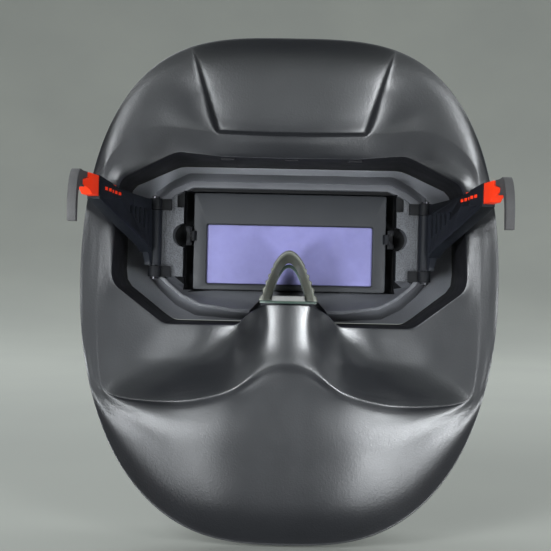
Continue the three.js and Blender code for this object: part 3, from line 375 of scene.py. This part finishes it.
class Nodes:
    """A short way to write a node material."""

    def __init__(self, name):
        self.material = bpy.data.materials.new(name)
        self.material.use_nodes = True
        self.tree = self.material.node_tree
        self.tree.nodes.clear()
        self.output = self.add("ShaderNodeOutputMaterial")
        self.shader = self.add("ShaderNodeBsdfPrincipled")
        self.link(self.shader, "BSDF", self.output, "Surface")
        self.coordinates = self.add("ShaderNodeTexCoord")

    def add(self, kind, **settings):
        node = self.tree.nodes.new(kind)
        for key, value in settings.items():
            setattr(node, key, value)
        return node

    def link(self, source, output, target, socket):
        self.tree.links.new(source.outputs[output], target.inputs[socket])

    def set(self, **values):
        """Sets sockets of the shader, with _ for each space in a name."""
        for key, value in values.items():
            self.shader.inputs[key.replace("_", " ")].default_value = value

    def noise(self, size_mm, detail=3, rough=0.55, stretch=(1, 1, 1)):
        """Noise whose lumps are about size_mm wide, or narrower along a stretched axis."""
        mapping = self.add("ShaderNodeMapping")
        mapping.inputs["Scale"].default_value = stretch
        self.link(self.coordinates, "Object", mapping, "Vector")
        node = self.add("ShaderNodeTexNoise")
        node.inputs["Scale"].default_value = 1 / (size_mm * MM)
        node.inputs["Detail"].default_value = detail
        node.inputs["Roughness"].default_value = rough
        self.link(mapping, "Vector", node, "Vector")
        return node

    def spread(self, source, low, high, output="Fac", span=(0.3, 0.7)):
        """Stretches a span of the source's values to run from low to high."""
        node = self.add("ShaderNodeMapRange")
        node.inputs["From Min"].default_value, node.inputs["From Max"].default_value = span
        node.inputs["To Min"].default_value, node.inputs["To Max"].default_value = low, high
        self.link(source, output, node, "Value")
        return node

    def colours(self, source, stops, output="Fac"):
        """Turns the source's values into colours, from stops of position and colour."""
        ramp = self.add("ShaderNodeValToRGB")
        elements = ramp.color_ramp.elements
        while len(elements) < len(stops):
            elements.new(0.5)
        for element, (position, colour) in zip(elements, stops):
            element.position = position
            element.color = (*colour, 1)
        self.link(source, output, ramp, "Fac")
        return ramp

    def mix(self, factor, a, b):
        """Mixes colour a towards colour b, either of which may be a node or three numbers."""
        node = self.add("ShaderNodeMix", data_type="RGBA")
        self.link(factor, "Result", node, "Factor")
        for side, value in (("A", a), ("B", b)):
            socket = next(i for i in node.inputs if i.name == side and i.type == "RGBA")
            if isinstance(value, tuple):
                socket.default_value = (*value, 1)
            else:
                self.tree.links.new(next(o for o in value.outputs if o.type == "RGBA"), socket)
        return node

    def bump(self, source, strength, distance_mm, output="Fac", under=None):
        """Bumps as deep as distance_mm, on top of another bump if one lies under it."""
        node = self.add("ShaderNodeBump")
        node.inputs["Strength"].default_value = strength
        node.inputs["Distance"].default_value = distance_mm * MM
        self.link(source, output, node, "Height")
        if under is not None:
            self.link(under, "Normal", node, "Normal")
        return node

    def paint(self, node):
        """Uses a node's colour as the base colour."""
        colour = next(output for output in node.outputs if output.type == "RGBA")
        self.tree.links.new(colour, self.shader.inputs["Base Color"])


def shade(colour, factor):
    """A lighter or darker version of a colour."""
    return tuple(min(c * factor, 1) for c in colour)


def plastic(name, colour, vary=0.07, roughness=0.4, grain_mm=0.4, grain=0.3, edge_wear_and_highlight=0.0, specular=0.5, rub=0.1,
            grain_depth_mm=0.05):
    """Moulded plastic: a fine grain, faint cloudiness, rub marks and paler edges, partly worn and partly
    painted highlight.
    """
    cloud_mm, rub_mm, ripple_mm = 24, 11, 15
    speck_paler, worn_and_highlight_paler = 1.5, 3.5
    m = Nodes(name)
    cloud = m.colours(m.noise(cloud_mm, 4), [(0.3, shade(colour, 1 - vary)), (0.7, shade(colour, 1 + vary))])
    grain_noise = m.noise(grain_mm, 2, 0.5)
    speck = m.spread(grain_noise, 0, 0.35, span=(0.45, 0.75))
    tone = m.mix(speck, cloud, shade(colour, speck_paler))
    # paler convex edges: partly worn, partly painted highlight
    if edge_wear_and_highlight > 0:
        geometry = m.add("ShaderNodeNewGeometry")
        edge = m.spread(geometry, 0, edge_wear_and_highlight, "Pointiness", (0.52, 0.6))
        tone = m.mix(edge, tone, shade(colour, worn_and_highlight_paler))
    m.paint(tone)
    rub_noise = m.noise(rub_mm, 5, 0.6)
    rubbed = m.spread(rub_noise, roughness * (1 - rub), roughness * (1 + rub))
    m.link(rubbed, "Result", m.shader, "Roughness")
    fine = m.bump(grain_noise, grain, grain_depth_mm)
    m.link(m.bump(m.noise(ripple_mm, 2, 0.4), 0.1, 0.08, under=fine), "Normal", m.shader, "Normal")
    m.set(Specular_IOR_Level=specular)
    return m


def stippled_frame():
    """The frame's side plates: a coarse pitted texture."""
    pit_mm = 0.75
    m = Nodes("stippled_frame")
    pits = m.add("ShaderNodeTexVoronoi")
    pits.inputs["Scale"].default_value = 1 / (pit_mm * MM)
    m.link(m.coordinates, "Object", pits, "Vector")
    m.paint(m.colours(pits, [(0.15, (0.012, 0.013, 0.015)), (0.6, (0.05, 0.053, 0.06))], "Distance"))
    m.link(m.spread(m.noise(6, 4), 0.5, 0.7), "Result", m.shader, "Roughness")
    m.link(m.bump(pits, 0.8, 0.2, "Distance"), "Normal", m.shader, "Normal")
    return m


def metal(name, colour, roughness):
    """Metal with fine lines brushed across its height."""
    m = Nodes(name)
    lines = m.noise(0.6, 3, 0.6, (1, 1, 8))
    m.paint(m.colours(lines, [(0.3, shade(colour, 0.86)), (0.7, colour)]))
    m.link(m.spread(lines, roughness * 0.8, roughness * 1.3), "Result", m.shader, "Roughness")
    m.link(m.bump(lines, 0.15, 0.02), "Normal", m.shader, "Normal")
    m.set(Metallic=1)
    return m


def glass_like(name, colour, roughness, clear=0.0, vary=0.06):
    """Coated glass or clear plastic with a faint cloud and wiped smears."""
    m = Nodes(name)
    cloud = m.noise(14, 4, 0.6)
    m.paint(m.colours(cloud, [(0.35, shade(colour, 1 - vary)), (0.65, shade(colour, 1 + vary))]))
    smear = m.noise(6, 5, 0.65, (1, 1, 2))
    m.link(m.spread(smear, roughness, roughness * 1.8), "Result", m.shader, "Roughness")
    m.link(m.bump(smear, 0.05, 0.05), "Normal", m.shader, "Normal")
    m.set(Transmission_Weight=clear, Coat_Weight=0.5)
    return m


def solar_cells():
    """Dark blue cells between thin silver fingers, about 5 mm apart."""
    m = Nodes("solar_cells")
    fingers = m.add("ShaderNodeTexWave", wave_type="BANDS", bands_direction="X", wave_profile="SIN")
    fingers.inputs["Scale"].default_value = 60
    m.link(m.coordinates, "Object", fingers, "Vector")
    line = m.spread(fingers, 0, 1, span=(0.93, 0.97))
    cell = m.colours(m.noise(7, 3), [(0.3, (0.006, 0.01, 0.04)), (0.7, (0.012, 0.02, 0.07))])
    m.paint(m.mix(line, cell, (0.3, 0.31, 0.33)))
    m.set(Roughness=0.18)
    return m


def circuit_green():
    """Green lacquer over tracks that show as a paler grid."""
    m = Nodes("circuit_green")
    tracks = m.add("ShaderNodeTexBrick")
    tracks.inputs["Scale"].default_value = 160
    for socket, colour in (("Color1", (0.008, 0.09, 0.03)), ("Color2", (0.01, 0.11, 0.04)),
                           ("Mortar", (0.02, 0.2, 0.07))):
        tracks.inputs[socket].default_value = (*colour, 1)
    turn = m.add("ShaderNodeMapping")
    turn.inputs["Rotation"].default_value = (math.pi / 2, 0, 0)
    m.link(m.coordinates, "Object", turn, "Vector")
    m.link(turn, "Vector", tracks, "Vector")
    m.link(tracks, "Color", m.shader, "Base Color")
    m.link(m.bump(tracks, 0.3, 0.05), "Normal", m.shader, "Normal")
    m.set(Roughness=0.35)
    return m


def seal_foam():
    """Black foam rubber with open cells."""
    cell_mm = 0.5
    m = Nodes("seal_foam")
    cells = m.add("ShaderNodeTexVoronoi")
    cells.inputs["Scale"].default_value = 1 / (cell_mm * MM)
    m.link(m.coordinates, "Object", cells, "Vector")
    m.paint(m.colours(cells, [(0.1, (0.006, 0.006, 0.007)), (0.7, (0.02, 0.02, 0.022))], "Distance"))
    m.link(m.bump(cells, 0.9, 0.2, "Distance"), "Normal", m.shader, "Normal")
    m.set(Roughness=0.95)
    return m


# A plastic's numbers are its colour, how much that varies, its roughness, and the size in
# millimetres and strength of its grain.
FINISHES = {
    "shell": plastic("satin_shell", (0.0105, 0.0112, 0.0132), 0.08, 0.335, 1.0, 0.9, edge_wear_and_highlight=0.12, specular=0.9,
                     rub=0.05, grain_depth_mm=0.08),
    "frame": plastic("goggle_nylon", (0.055, 0.057, 0.064), 0.07, 0.42, 0.5, 0.35, edge_wear_and_highlight=0.2),
    # a paler copy of the frame's plastic: painted light for the wing and the slope deep in the bay
    "wing": plastic("goggle_wing_painted_light", (0.17, 0.175, 0.192), 0.07, 0.45, 0.5, 0.35, edge_wear_and_highlight=0.2),
    "case": plastic("cartridge_case", (0.0125, 0.0137, 0.016), 0.06, 0.5, 0.5, 0.8, edge_wear_and_highlight=0.2, specular=0.3),
    "temple": plastic("temple_nylon", (0.0022, 0.0026, 0.0036), 0.12, 0.55, 0.35, 0.25, edge_wear_and_highlight=1.0,
                      specular=0.18),
    # the latches' own black plastic, also used as painted shade in the goggle frame's cavity
    "latch": plastic("latch_acetal_and_painted_shade", (0.002, 0.0022, 0.0028), 0.12, 0.62, 0.3, 0.12, edge_wear_and_highlight=1.0, specular=0.15),
    "slider": plastic("slider_nylon", (0.95, 0.04, 0.006), 0.05, 0.5, 0.35, 0.2, specular=0.25),
    "ear_rubber": plastic("ear_rubber", (0.05, 0.049, 0.05), 0.08, 0.75, 0.5, 0.6),
    "nose_pad": plastic("nose_rubber", (0.055, 0.057, 0.047), 0.12, 0.45, 0.35, 0.3, edge_wear_and_highlight=0.8),
    "nose_clip": plastic("clip_nylon", (0.008, 0.02, 0.014), 0.12, 0.4, 0.3, 0.2, edge_wear_and_highlight=0.4),
    "clip_tab": plastic("clip_tab", (0.12, 0.12, 0.115), 0.08, 0.4, 0.3, 0.2),
    "foam": seal_foam(),
    "clear_lens": glass_like("cover_lens", (0.9, 0.94, 0.94), 0.04, 0.95),
    "violet_lens": glass_like("violet_window", (0.125, 0.122, 0.27), 0.3, vary=0.09),
    "shutter_glass": glass_like("shutter", (0.03, 0.045, 0.06), 0.08),
    "filter_glass": glass_like("filter", (0.03, 0.075, 0.045), 0.06),
    "solar": solar_cells(),
    "sensor": plastic("sensor_dome", (0.03, 0.008, 0.01), 0.1, 0.08, 0.5, 0.02),
    "board": circuit_green(),
    "battery": metal("battery_can", (0.55, 0.55, 0.54), 0.25),
    "steel": metal("screw_steel", (0.45, 0.45, 0.46), 0.28),
}
STIPPLED = stippled_frame().material
DARK_PIN = metal("blackened_pin", (0.09, 0.09, 0.1), 0.25).material
MATERIALS = {slot: finish.material for slot, finish in FINISHES.items()}

SLOT_OF = {subpart["node"]: subpart["material_slot"] for subpart in frame["record"]["subparts"]}
BODY_OF = {node: body for body, nodes in frame["record"]["behaviour"]["bodies"].items() for node in nodes}
for name, node in NODES.items():
    node.data.materials.clear()
    node.data.materials.append(DARK_PIN if name.startswith("hinge_pin") else MATERIALS[SLOT_OF[name]])

# ---------------------------------------------------------------- pieces


def stand_in(piece, node):
    """Says that a piece takes a CAD node's place, on the node's body, and hides the node."""
    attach(piece, BODY_OF[node])
    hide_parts(node)


def new_piece(name, mesh, material):
    """An object from a bmesh, with its faces turned outwards."""
    data = bpy.data.meshes.new(name)
    bmesh.ops.recalc_face_normals(mesh, faces=mesh.faces)
    mesh.to_mesh(data)
    mesh.free()
    data.materials.append(material)
    piece = bpy.data.objects.new(name, data)
    bpy.context.scene.collection.objects.link(piece)
    return piece


WELD = 0.01  # points of a CAD mesh closer than this are one
FLAT_ANGLE = math.radians(0.6)  # faces that meet at less than this become one
EDGE_ANGLE = math.radians(28)  # edges sharper than this are rounded
SHARP_ANGLE = math.radians(42)  # edges sharper than this are still shaded sharp


def cad_copy(node):
    """A node's mesh with its flat faces in one piece each."""
    mesh = bmesh.new()
    mesh.from_mesh(NODES[node].data)
    mesh.transform(NODES[node].matrix_world)
    bmesh.ops.remove_doubles(mesh, verts=mesh.verts, dist=WELD * MM)
    bmesh.ops.dissolve_limit(mesh, angle_limit=FLAT_ANGLE, verts=mesh.verts, edges=mesh.edges)
    return mesh


def moulded(node, radius):
    """A CAD node with moulded edges: each one rounded by a small radius."""
    mesh = cad_copy(node)
    edges = [edge for edge in mesh.edges if edge.is_manifold and edge.calc_face_angle() > EDGE_ANGLE]
    bmesh.ops.bevel(mesh, geom=edges, offset=radius * MM, offset_type="OFFSET", segments=2, profile=0.5,
                    affect="EDGES", clamp_overlap=True, miter_outer="ARC")
    bmesh.ops.triangulate(mesh, faces=[face for face in mesh.faces if len(face.verts) > 4])
    piece = new_piece(f"{node}_moulded", mesh, MATERIALS[SLOT_OF[node]])
    piece.data.shade_smooth()
    piece.data.set_sharp_from_angle(angle=SHARP_ANGLE)
    stand_in(piece, node)


def rounded_block(mesh, low, high, radius, turn=Matrix()):
    """Adds a block with rounded edges to a bmesh, from its two corners."""
    size, middle = Vector(high) - Vector(low), (Vector(high) + Vector(low)) / 2
    place = turn @ Matrix.Translation(middle * MM) @ Matrix.Diagonal((*size * MM, 1))
    verts = bmesh.ops.create_cube(mesh, size=1, matrix=place)["verts"]
    edges = list({edge for vert in verts for edge in vert.link_edges})
    bmesh.ops.bevel(mesh, geom=edges, offset=radius * MM, offset_type="OFFSET", segments=3, profile=0.5,
                    affect="EDGES", clamp_overlap=True)


CATCH = {"spacing": 34, "half_width": 4, "y": (5, 8), "z": (54, 56.5), "radius": 0.8}


def mask_piece():
    """The mask shell, with the bay where the goggles sit and three catches above it; the bay's wall and the
    catches are painted darker as painted shade.
    """
    grid = mask_grid()
    piece = grid_mesh("mask", grid, MATERIALS["shell"])
    # a darker, rougher copy of the shell's plastic: painted shade for the bay wall and the catches
    recess_painted_shade = plastic("bay_wall_painted_shade", (0.008, 0.008, 0.01), 0.1, 0.6, 0.5, 0.4, specular=0.2)
    piece.data.materials.append(recess_painted_shade.material)
    # the bay's rows take the painted-shade material
    for face in piece.data.polygons:
        face.material_index = int(face.index % grid.shape[1] in BAY_ROWS)
    mesh = bmesh.new()
    mesh.from_mesh(piece.data)
    first_catch = len(mesh.faces)
    (y_low, y_high), (z_low, z_high) = CATCH["y"], CATCH["z"]
    for x in (-CATCH["spacing"], 0, CATCH["spacing"]):
        left, right = x - CATCH["half_width"], x + CATCH["half_width"]
        rounded_block(mesh, (left, y_low, z_low), (right, y_high, z_high), CATCH["radius"])
    mesh.faces.ensure_lookup_table()
    # the catches take the painted-shade material too
    for face in mesh.faces[first_catch:]:
        face.material_index = 1
    mesh.to_mesh(piece.data)
    mesh.free()
    piece.data.shade_smooth()
    stand_in(piece, "mask_shell")


mask_piece()

# Radius of the rounded edges of each piece that is remade with them
MOULDED_RADIUS = {
    "goggle_frame": 0.4, "cartridge_back_case": 0.25, "front_bezel": 0.5, "nose_clip": 0.35,
    "cartridge_latch_left": 0.3, "cartridge_latch_right": 0.3, "temple_arm_left": 0.35,
    "temple_arm_right": 0.35, "temple_slider_left": 0.5, "temple_slider_right": 0.5,
    "ear_tip_left": 1.2, "ear_tip_right": 1.2,
}
for node, radius in MOULDED_RADIUS.items():
    moulded(node, radius)

# ---------------------------------------------------------------- paint on the CAD shapes, painted light and painted shade among it

# Spans of x, y or z that take in one part of a piece
LUG_INNER, LUG_FRONT, LUG_HEIGHTS = 65.9, -22.5, ((27.5, 35), (-9.5, -2))
CLIP_FACE, CLIP_LOW = -4.6, -20.5
WING_Y, SLOPE_Y, CAVITY_Y, PLATE_Y = (-29.5, -28.5), (-29.2, -13.5), (-32.6, -17), (-17, -15.5)
BODY_HALF_WIDTH, BODY_LOW, BODY_HIGH, BODY_MIDDLE = 66, -20, 43, 10
CAVITY_LOW = -17
PLATE_X = (58, 72)
# How much of a face's normal points along an axis: all, most, some and hardly any
LEVEL, FACING, LEANING, UPRIGHT = 0.98, 0.9, 0.2, 0.1


def within(value, span):
    return span[0] < value < span[1]


def on_lug(at, out):
    """The hinge lugs above and below each temple."""
    return abs(at.x) > LUG_INNER and at.y > LUG_FRONT and any(within(at.z, span) for span in LUG_HEIGHTS)


def on_clip_tab(at, out):
    """The pale face of the nose clip's head."""
    return at.y > CLIP_FACE and at.z > CLIP_LOW and out.y > FACING


def on_wing(at, out):
    """The flat wing round the goggle frame's body."""
    past_body = abs(at.x) > BODY_HALF_WIDTH or at.z > BODY_HIGH or at.z < BODY_LOW
    return within(at.y, WING_Y) and out.y > LEVEL and past_body


def on_slope(at, out):
    """The slope of the goggle frame's rim that faces outwards."""
    outwards = at.x * out.x + (at.z - BODY_MIDDLE) * out.z > 0
    return within(out.y, (LEANING, LEVEL)) and within(at.y, SLOPE_Y) and outwards


def in_cavity(at, out):
    """The cartridge's cavity, the slots and the finger notches, but no sloped face."""
    inside = within(at.y, CAVITY_Y) and abs(at.x) < BODY_HALF_WIDTH and within(at.z, (CAVITY_LOW, BODY_HIGH))
    return inside and not within(abs(out.z), (UPRIGHT, FACING))


def on_side_plate(at, out):
    """The two flat plates beside the cartridge."""
    return within(abs(at.x), PLATE_X) and within(at.y, PLATE_Y) and out.y > FACING


def paint_faces(piece, material, *rules):
    """Gives a material to the faces whose middle and normal fit any of the rules."""
    piece.data.materials.append(material)
    slot = len(piece.data.materials) - 1
    for face in piece.data.polygons:
        if any(rule(face.center / MM, face.normal) for rule in rules):
            face.material_index = slot


goggles = bpy.data.objects["goggle_frame_moulded"]
paint_faces(goggles, MATERIALS["latch"], on_lug)
paint_faces(bpy.data.objects["nose_clip_moulded"], MATERIALS["clip_tab"], on_clip_tab)
# the wing and the outward slope take the paler frame plastic: painted light
paint_faces(goggles, MATERIALS["wing"], on_wing, on_slope)
# the cavity, slots and finger notches take the near-black latch plastic: painted shade
paint_faces(goggles, MATERIALS["latch"], in_cavity)
paint_faces(goggles, STIPPLED, on_side_plate)

# ---------------------------------------------------------------- nose pad and temple dashes

NOSE_BASE = -20.2
PAD_STEPS = 160
# y, half width and top of the inner face, then how far out the outer face stands
PAD_BANDS = [
    (-8.5, 9.7, 0.0, 1.6), (-8.3, 9.65, -0.05, 2.1), (-7.6, 9.8, 0.2, 2.4), (-5, 10.2, 1.0, 2.4),
    (-3, 10.8, 1.7, 2.4), (-1, 11.4, 2.6, 2.4), (1, 12.2, 3.3, 2.4), (2.6, 12.9, 4.0, 2.4),
    (3.7, 13.3, 4.4, 2.4), (4.3, 13.6, 4.6, 2.2), (4.5, 14.2, 5.1, 1.4),
]
PAD_EDGE_SHARES = (0.2, 0.5, 0.8)
PAD_FRONT_BEAD, PAD_NEAR_BEAD = 0.25, 0.35
PAD_SHARP_ANGLE = math.radians(60)
# Grip ribs on the outside of each leg, between two shares of the arch and behind RIBS["from_y"]
RIBS = {"count": 5, "depth": 0.9, "start": 0.52, "end": 0.97, "fade_in": 0.08, "fade_out": 0.03,
        "from_y": -3, "full_after": 3}


def arch_point(half_width, top, share):
    """A point on the nose pad's arch: share runs from -1 at one foot over 0 at the top to 1."""
    return half_width * share, NOSE_BASE + (top - NOSE_BASE) * (1 - share**2)


def rib_groove(share):
    """Depth of the grooves between the grip ribs, at a share of the arch."""
    down = abs(share) - RIBS["start"]
    leg = np.clip(down / RIBS["fade_in"], 0, 1) * np.clip((RIBS["end"] - abs(share)) / RIBS["fade_out"], 0, 1)
    wave = 0.5 - 0.5 * math.cos(2 * math.pi * RIBS["count"] * down / (RIBS["end"] - RIBS["start"]))
    return RIBS["depth"] * leg * wave


def beaded(start, end, bead):
    """Points of the pad's edge from start to end, which bulges along Y by the bead."""
    return [start.lerp(end, t) + Vector((0, bead * math.sin(math.pi * t), 0)) for t in PAD_EDGE_SHARES]


def pad_loop(share):
    """The pad's section at a share of its arch."""
    inner, outer = [], []
    for y, half_width, top, wall in PAD_BANDS:
        x, z = arch_point(half_width, top, share)
        outer_x, outer_z = arch_point(half_width + wall, top + wall, share)
        groove = rib_groove(share) * np.clip((y - RIBS["from_y"]) / RIBS["full_after"], 0, 1)
        inwards = Vector((x - outer_x, 0, z - outer_z)).normalized()
        inner.append(Vector((x, y, z)))
        outer.append(Vector((outer_x, y, outer_z)) + inwards * groove)
    front = beaded(inner[0], outer[0], -PAD_FRONT_BEAD)
    near = beaded(outer[-1], inner[-1], PAD_NEAR_BEAD)
    return inner[::-1] + front + outer + near


def nose_pad():
    """A soft arch with a beaded edge and grip ribs on the outside of each leg."""
    mesh = bmesh.new()
    rings = []
    for i in range(PAD_STEPS + 1):
        share = -1 + 2 * i / PAD_STEPS
        rings.append([mesh.verts.new(point * MM) for point in pad_loop(share)])
    for a, b in zip(rings, rings[1:]):
        for j in range(len(a)):
            k = (j + 1) % len(a)
            mesh.faces.new((a[j], a[k], b[k], b[j]))
    for ring in (rings[0], rings[-1]):
        mesh.faces.new(ring)
    piece = new_piece("nose_pad_soft", mesh, MATERIALS["nose_pad"])
    piece.data.shade_smooth()
    piece.data.set_sharp_from_angle(angle=PAD_SHARP_ANGLE)
    return piece


stand_in(nose_pad(), "nose_pad")

HINGE_X, HINGE_Y = 74.5, -12
SPLAY = math.radians(14.6)
DASHES = {"first": 47.6, "pitch": 4.4, "count": 5, "length": 2.8, "height": 1.6, "z": 33, "climb": 0.25,
          "sunk": 0.3, "proud": 0.2, "radius": 0.15}
SLEEVE_START = 58  # where along the temple its inner face steps up
BAR_FACE, SLEEVE_FACE = -0.2, 0.7


def temple_dashes(side, sign):
    """A row of plain coloured dashes inlaid in the inner face of a temple."""
    mesh = bmesh.new()
    hinge = Matrix.Translation((HINGE_X * MM, HINGE_Y * MM, 0))
    on_hinge = hinge @ Matrix.Rotation(math.pi / 2 - SPLAY, 4, "Z")
    half_length, half_height = DASHES["length"] / 2, DASHES["height"] / 2
    for i in range(DASHES["count"]):
        x, z = DASHES["first"] + i * DASHES["pitch"], DASHES["z"] + i * DASHES["climb"]
        face = SLEEVE_FACE if x > SLEEVE_START else BAR_FACE
        rounded_block(mesh, (x - half_length, face - DASHES["sunk"], z - half_height),
                      (x + half_length, face + DASHES["proud"], z + half_height), DASHES["radius"], on_hinge)
    mesh.transform(Matrix.Diagonal((sign, 1, 1, 1)))
    piece = new_piece(f"temple_dashes_{side}", mesh, MATERIALS["slider"])
    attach(piece, f"temple_{side}")


temple_dashes("left", 1)
temple_dashes("right", -1)

# ---------------------------------------------------------------- floor, light and camera

FLOOR_GAP = 0.001  # air under the lowest piece
FLAT_RADIUS, MIDDLE_RING, CURVE_RADIUS, WALL_HEIGHT = 1.3, 0.8, 1.7, 3.2
CURVE_STEPS, ROUND_STEPS = 12, 64


def backdrop():
    """A pale round studio: a floor that curves up into a wall on every side."""
    low = CAD_BOX[0].z - FLOOR_GAP
    profile = [(MIDDLE_RING, low), (FLAT_RADIUS, low)]
    for i in range(1, CURVE_STEPS + 1):
        turn = math.pi / 2 * i / CURVE_STEPS
        out, up = CURVE_RADIUS * math.sin(turn), CURVE_RADIUS * (1 - math.cos(turn))
        profile.append((FLAT_RADIUS + out, low + up))
    profile.append((FLAT_RADIUS + CURVE_RADIUS, low + WALL_HEIGHT))
    turns = [2 * math.pi * i / ROUND_STEPS for i in range(ROUND_STEPS)]
    mesh = bmesh.new()
    centre = mesh.verts.new((0, 0, low))
    rings = [[mesh.verts.new((r * math.cos(t), r * math.sin(t), z)) for t in turns] for r, z in profile]
    for i in range(ROUND_STEPS):
        j = (i + 1) % ROUND_STEPS
        mesh.faces.new((centre, rings[0][i], rings[0][j]))
        for a, b in zip(rings, rings[1:]):
            mesh.faces.new((a[i], b[i], b[j], a[j]))
    m = Nodes("paper")
    m.paint(m.colours(m.noise(330, 3), [(0.3, (0.3, 0.31, 0.285)), (0.7, (0.325, 0.335, 0.305))]))
    m.set(Roughness=0.9)
    floor = new_piece("backdrop", mesh, m.material)
    floor.data.shade_smooth()


LAMP_COLOUR = (0.93, 0.97, 1.0)
# name: place, target, size, watts and spread in degrees
SOFTBOXES = {
    "tall_left": ((0.62, 0.95, 0.5), (0, 0, 0), (0.34, 0.95), 4.0, 100),
    "tall_right": ((-0.62, 0.95, 0.5), (0, 0, 0), (0.34, 0.95), 1.9, 100),
    "low_left": ((0.25, 0.4, -0.09), (0.06, 0, 0.08), (0.1, 0.08), 0.26, 70),
    "low_right": ((-0.24, 0.4, -0.085), (-0.06, 0, 0.08), (0.1, 0.08), 0.14, 70),
    "kicker_left": ((0.2, 0.26, -0.12), (0, -0.02, -0.04), (0.07, 0.04), 0.066, 50),
    "kicker_right": ((-0.2, 0.26, -0.12), (0, -0.02, -0.04), (0.07, 0.04), 0.052, 50),
    "wall_light": ((0, -0.7, 1.9), (0, -2.4, 0.1), (2.5, 0.8), 40, 180),
    "front_left": ((0.9, -1.1, 0.9), (0, 0, 0), (0.6, 0.9), 9, 180),
    "front_right": ((-0.9, -1.1, 0.7), (0, 0, 0), (0.6, 0.9), 6, 180),
}
WORLD_COLOUR, WORLD_STRENGTH = (0.5, 0.52, 0.52, 1), 0.2


def softbox(name, place, target, size, watts, spread):
    """A rectangular lamp that the camera doesn't see."""
    data = bpy.data.lights.new(name, "AREA")
    data.shape = "RECTANGLE"
    data.size, data.size_y = size
    data.energy = watts
    data.spread = math.radians(spread)
    data.color = LAMP_COLOUR
    lamp = bpy.data.objects.new(name, data)
    lamp.location = place
    lamp.rotation_mode = "QUATERNION"
    lamp.rotation_quaternion = (Vector(target) - Vector(place)).to_track_quat("-Z", "Y")
    lamp.visible_camera = False
    bpy.context.scene.collection.objects.link(lamp)


backdrop()
for name, settings in SOFTBOXES.items():
    softbox(name, *settings)
world = bpy.data.worlds.new("world")
world.use_nodes = True
background = world.node_tree.nodes["Background"]
background.inputs["Color"].default_value = WORLD_COLOUR
background.inputs["Strength"].default_value = WORLD_STRENGTH
bpy.context.scene.world = world
bpy.context.scene.view_settings.view_transform = "Standard"

CAMERA_DISTANCE, CAMERA_HEIGHT = 0.53, -0.0068
LENS_MM, SENSOR_MM = 64, 36
CLIP_START = 0.01
PAN, ROLL = math.radians(0.78), math.radians(1.25)

camera_data = bpy.data.cameras.new("camera")
camera_data.sensor_width = SENSOR_MM
camera_data.lens = LENS_MM
camera_data.clip_start = CLIP_START
camera = bpy.data.objects.new("camera", camera_data)
look_forward = Matrix.Rotation(math.pi, 4, "Z") @ Matrix.Rotation(math.pi / 2, 4, "X")
camera.matrix_world = (
    Matrix.Translation((0, CAMERA_DISTANCE, CAMERA_HEIGHT))
    @ look_forward @ Matrix.Rotation(PAN, 4, "Y") @ Matrix.Rotation(ROLL, 4, "Z")
)
bpy.context.scene.collection.objects.link(camera)
bpy.context.scene.camera = camera

bpy.context.view_layer.update()
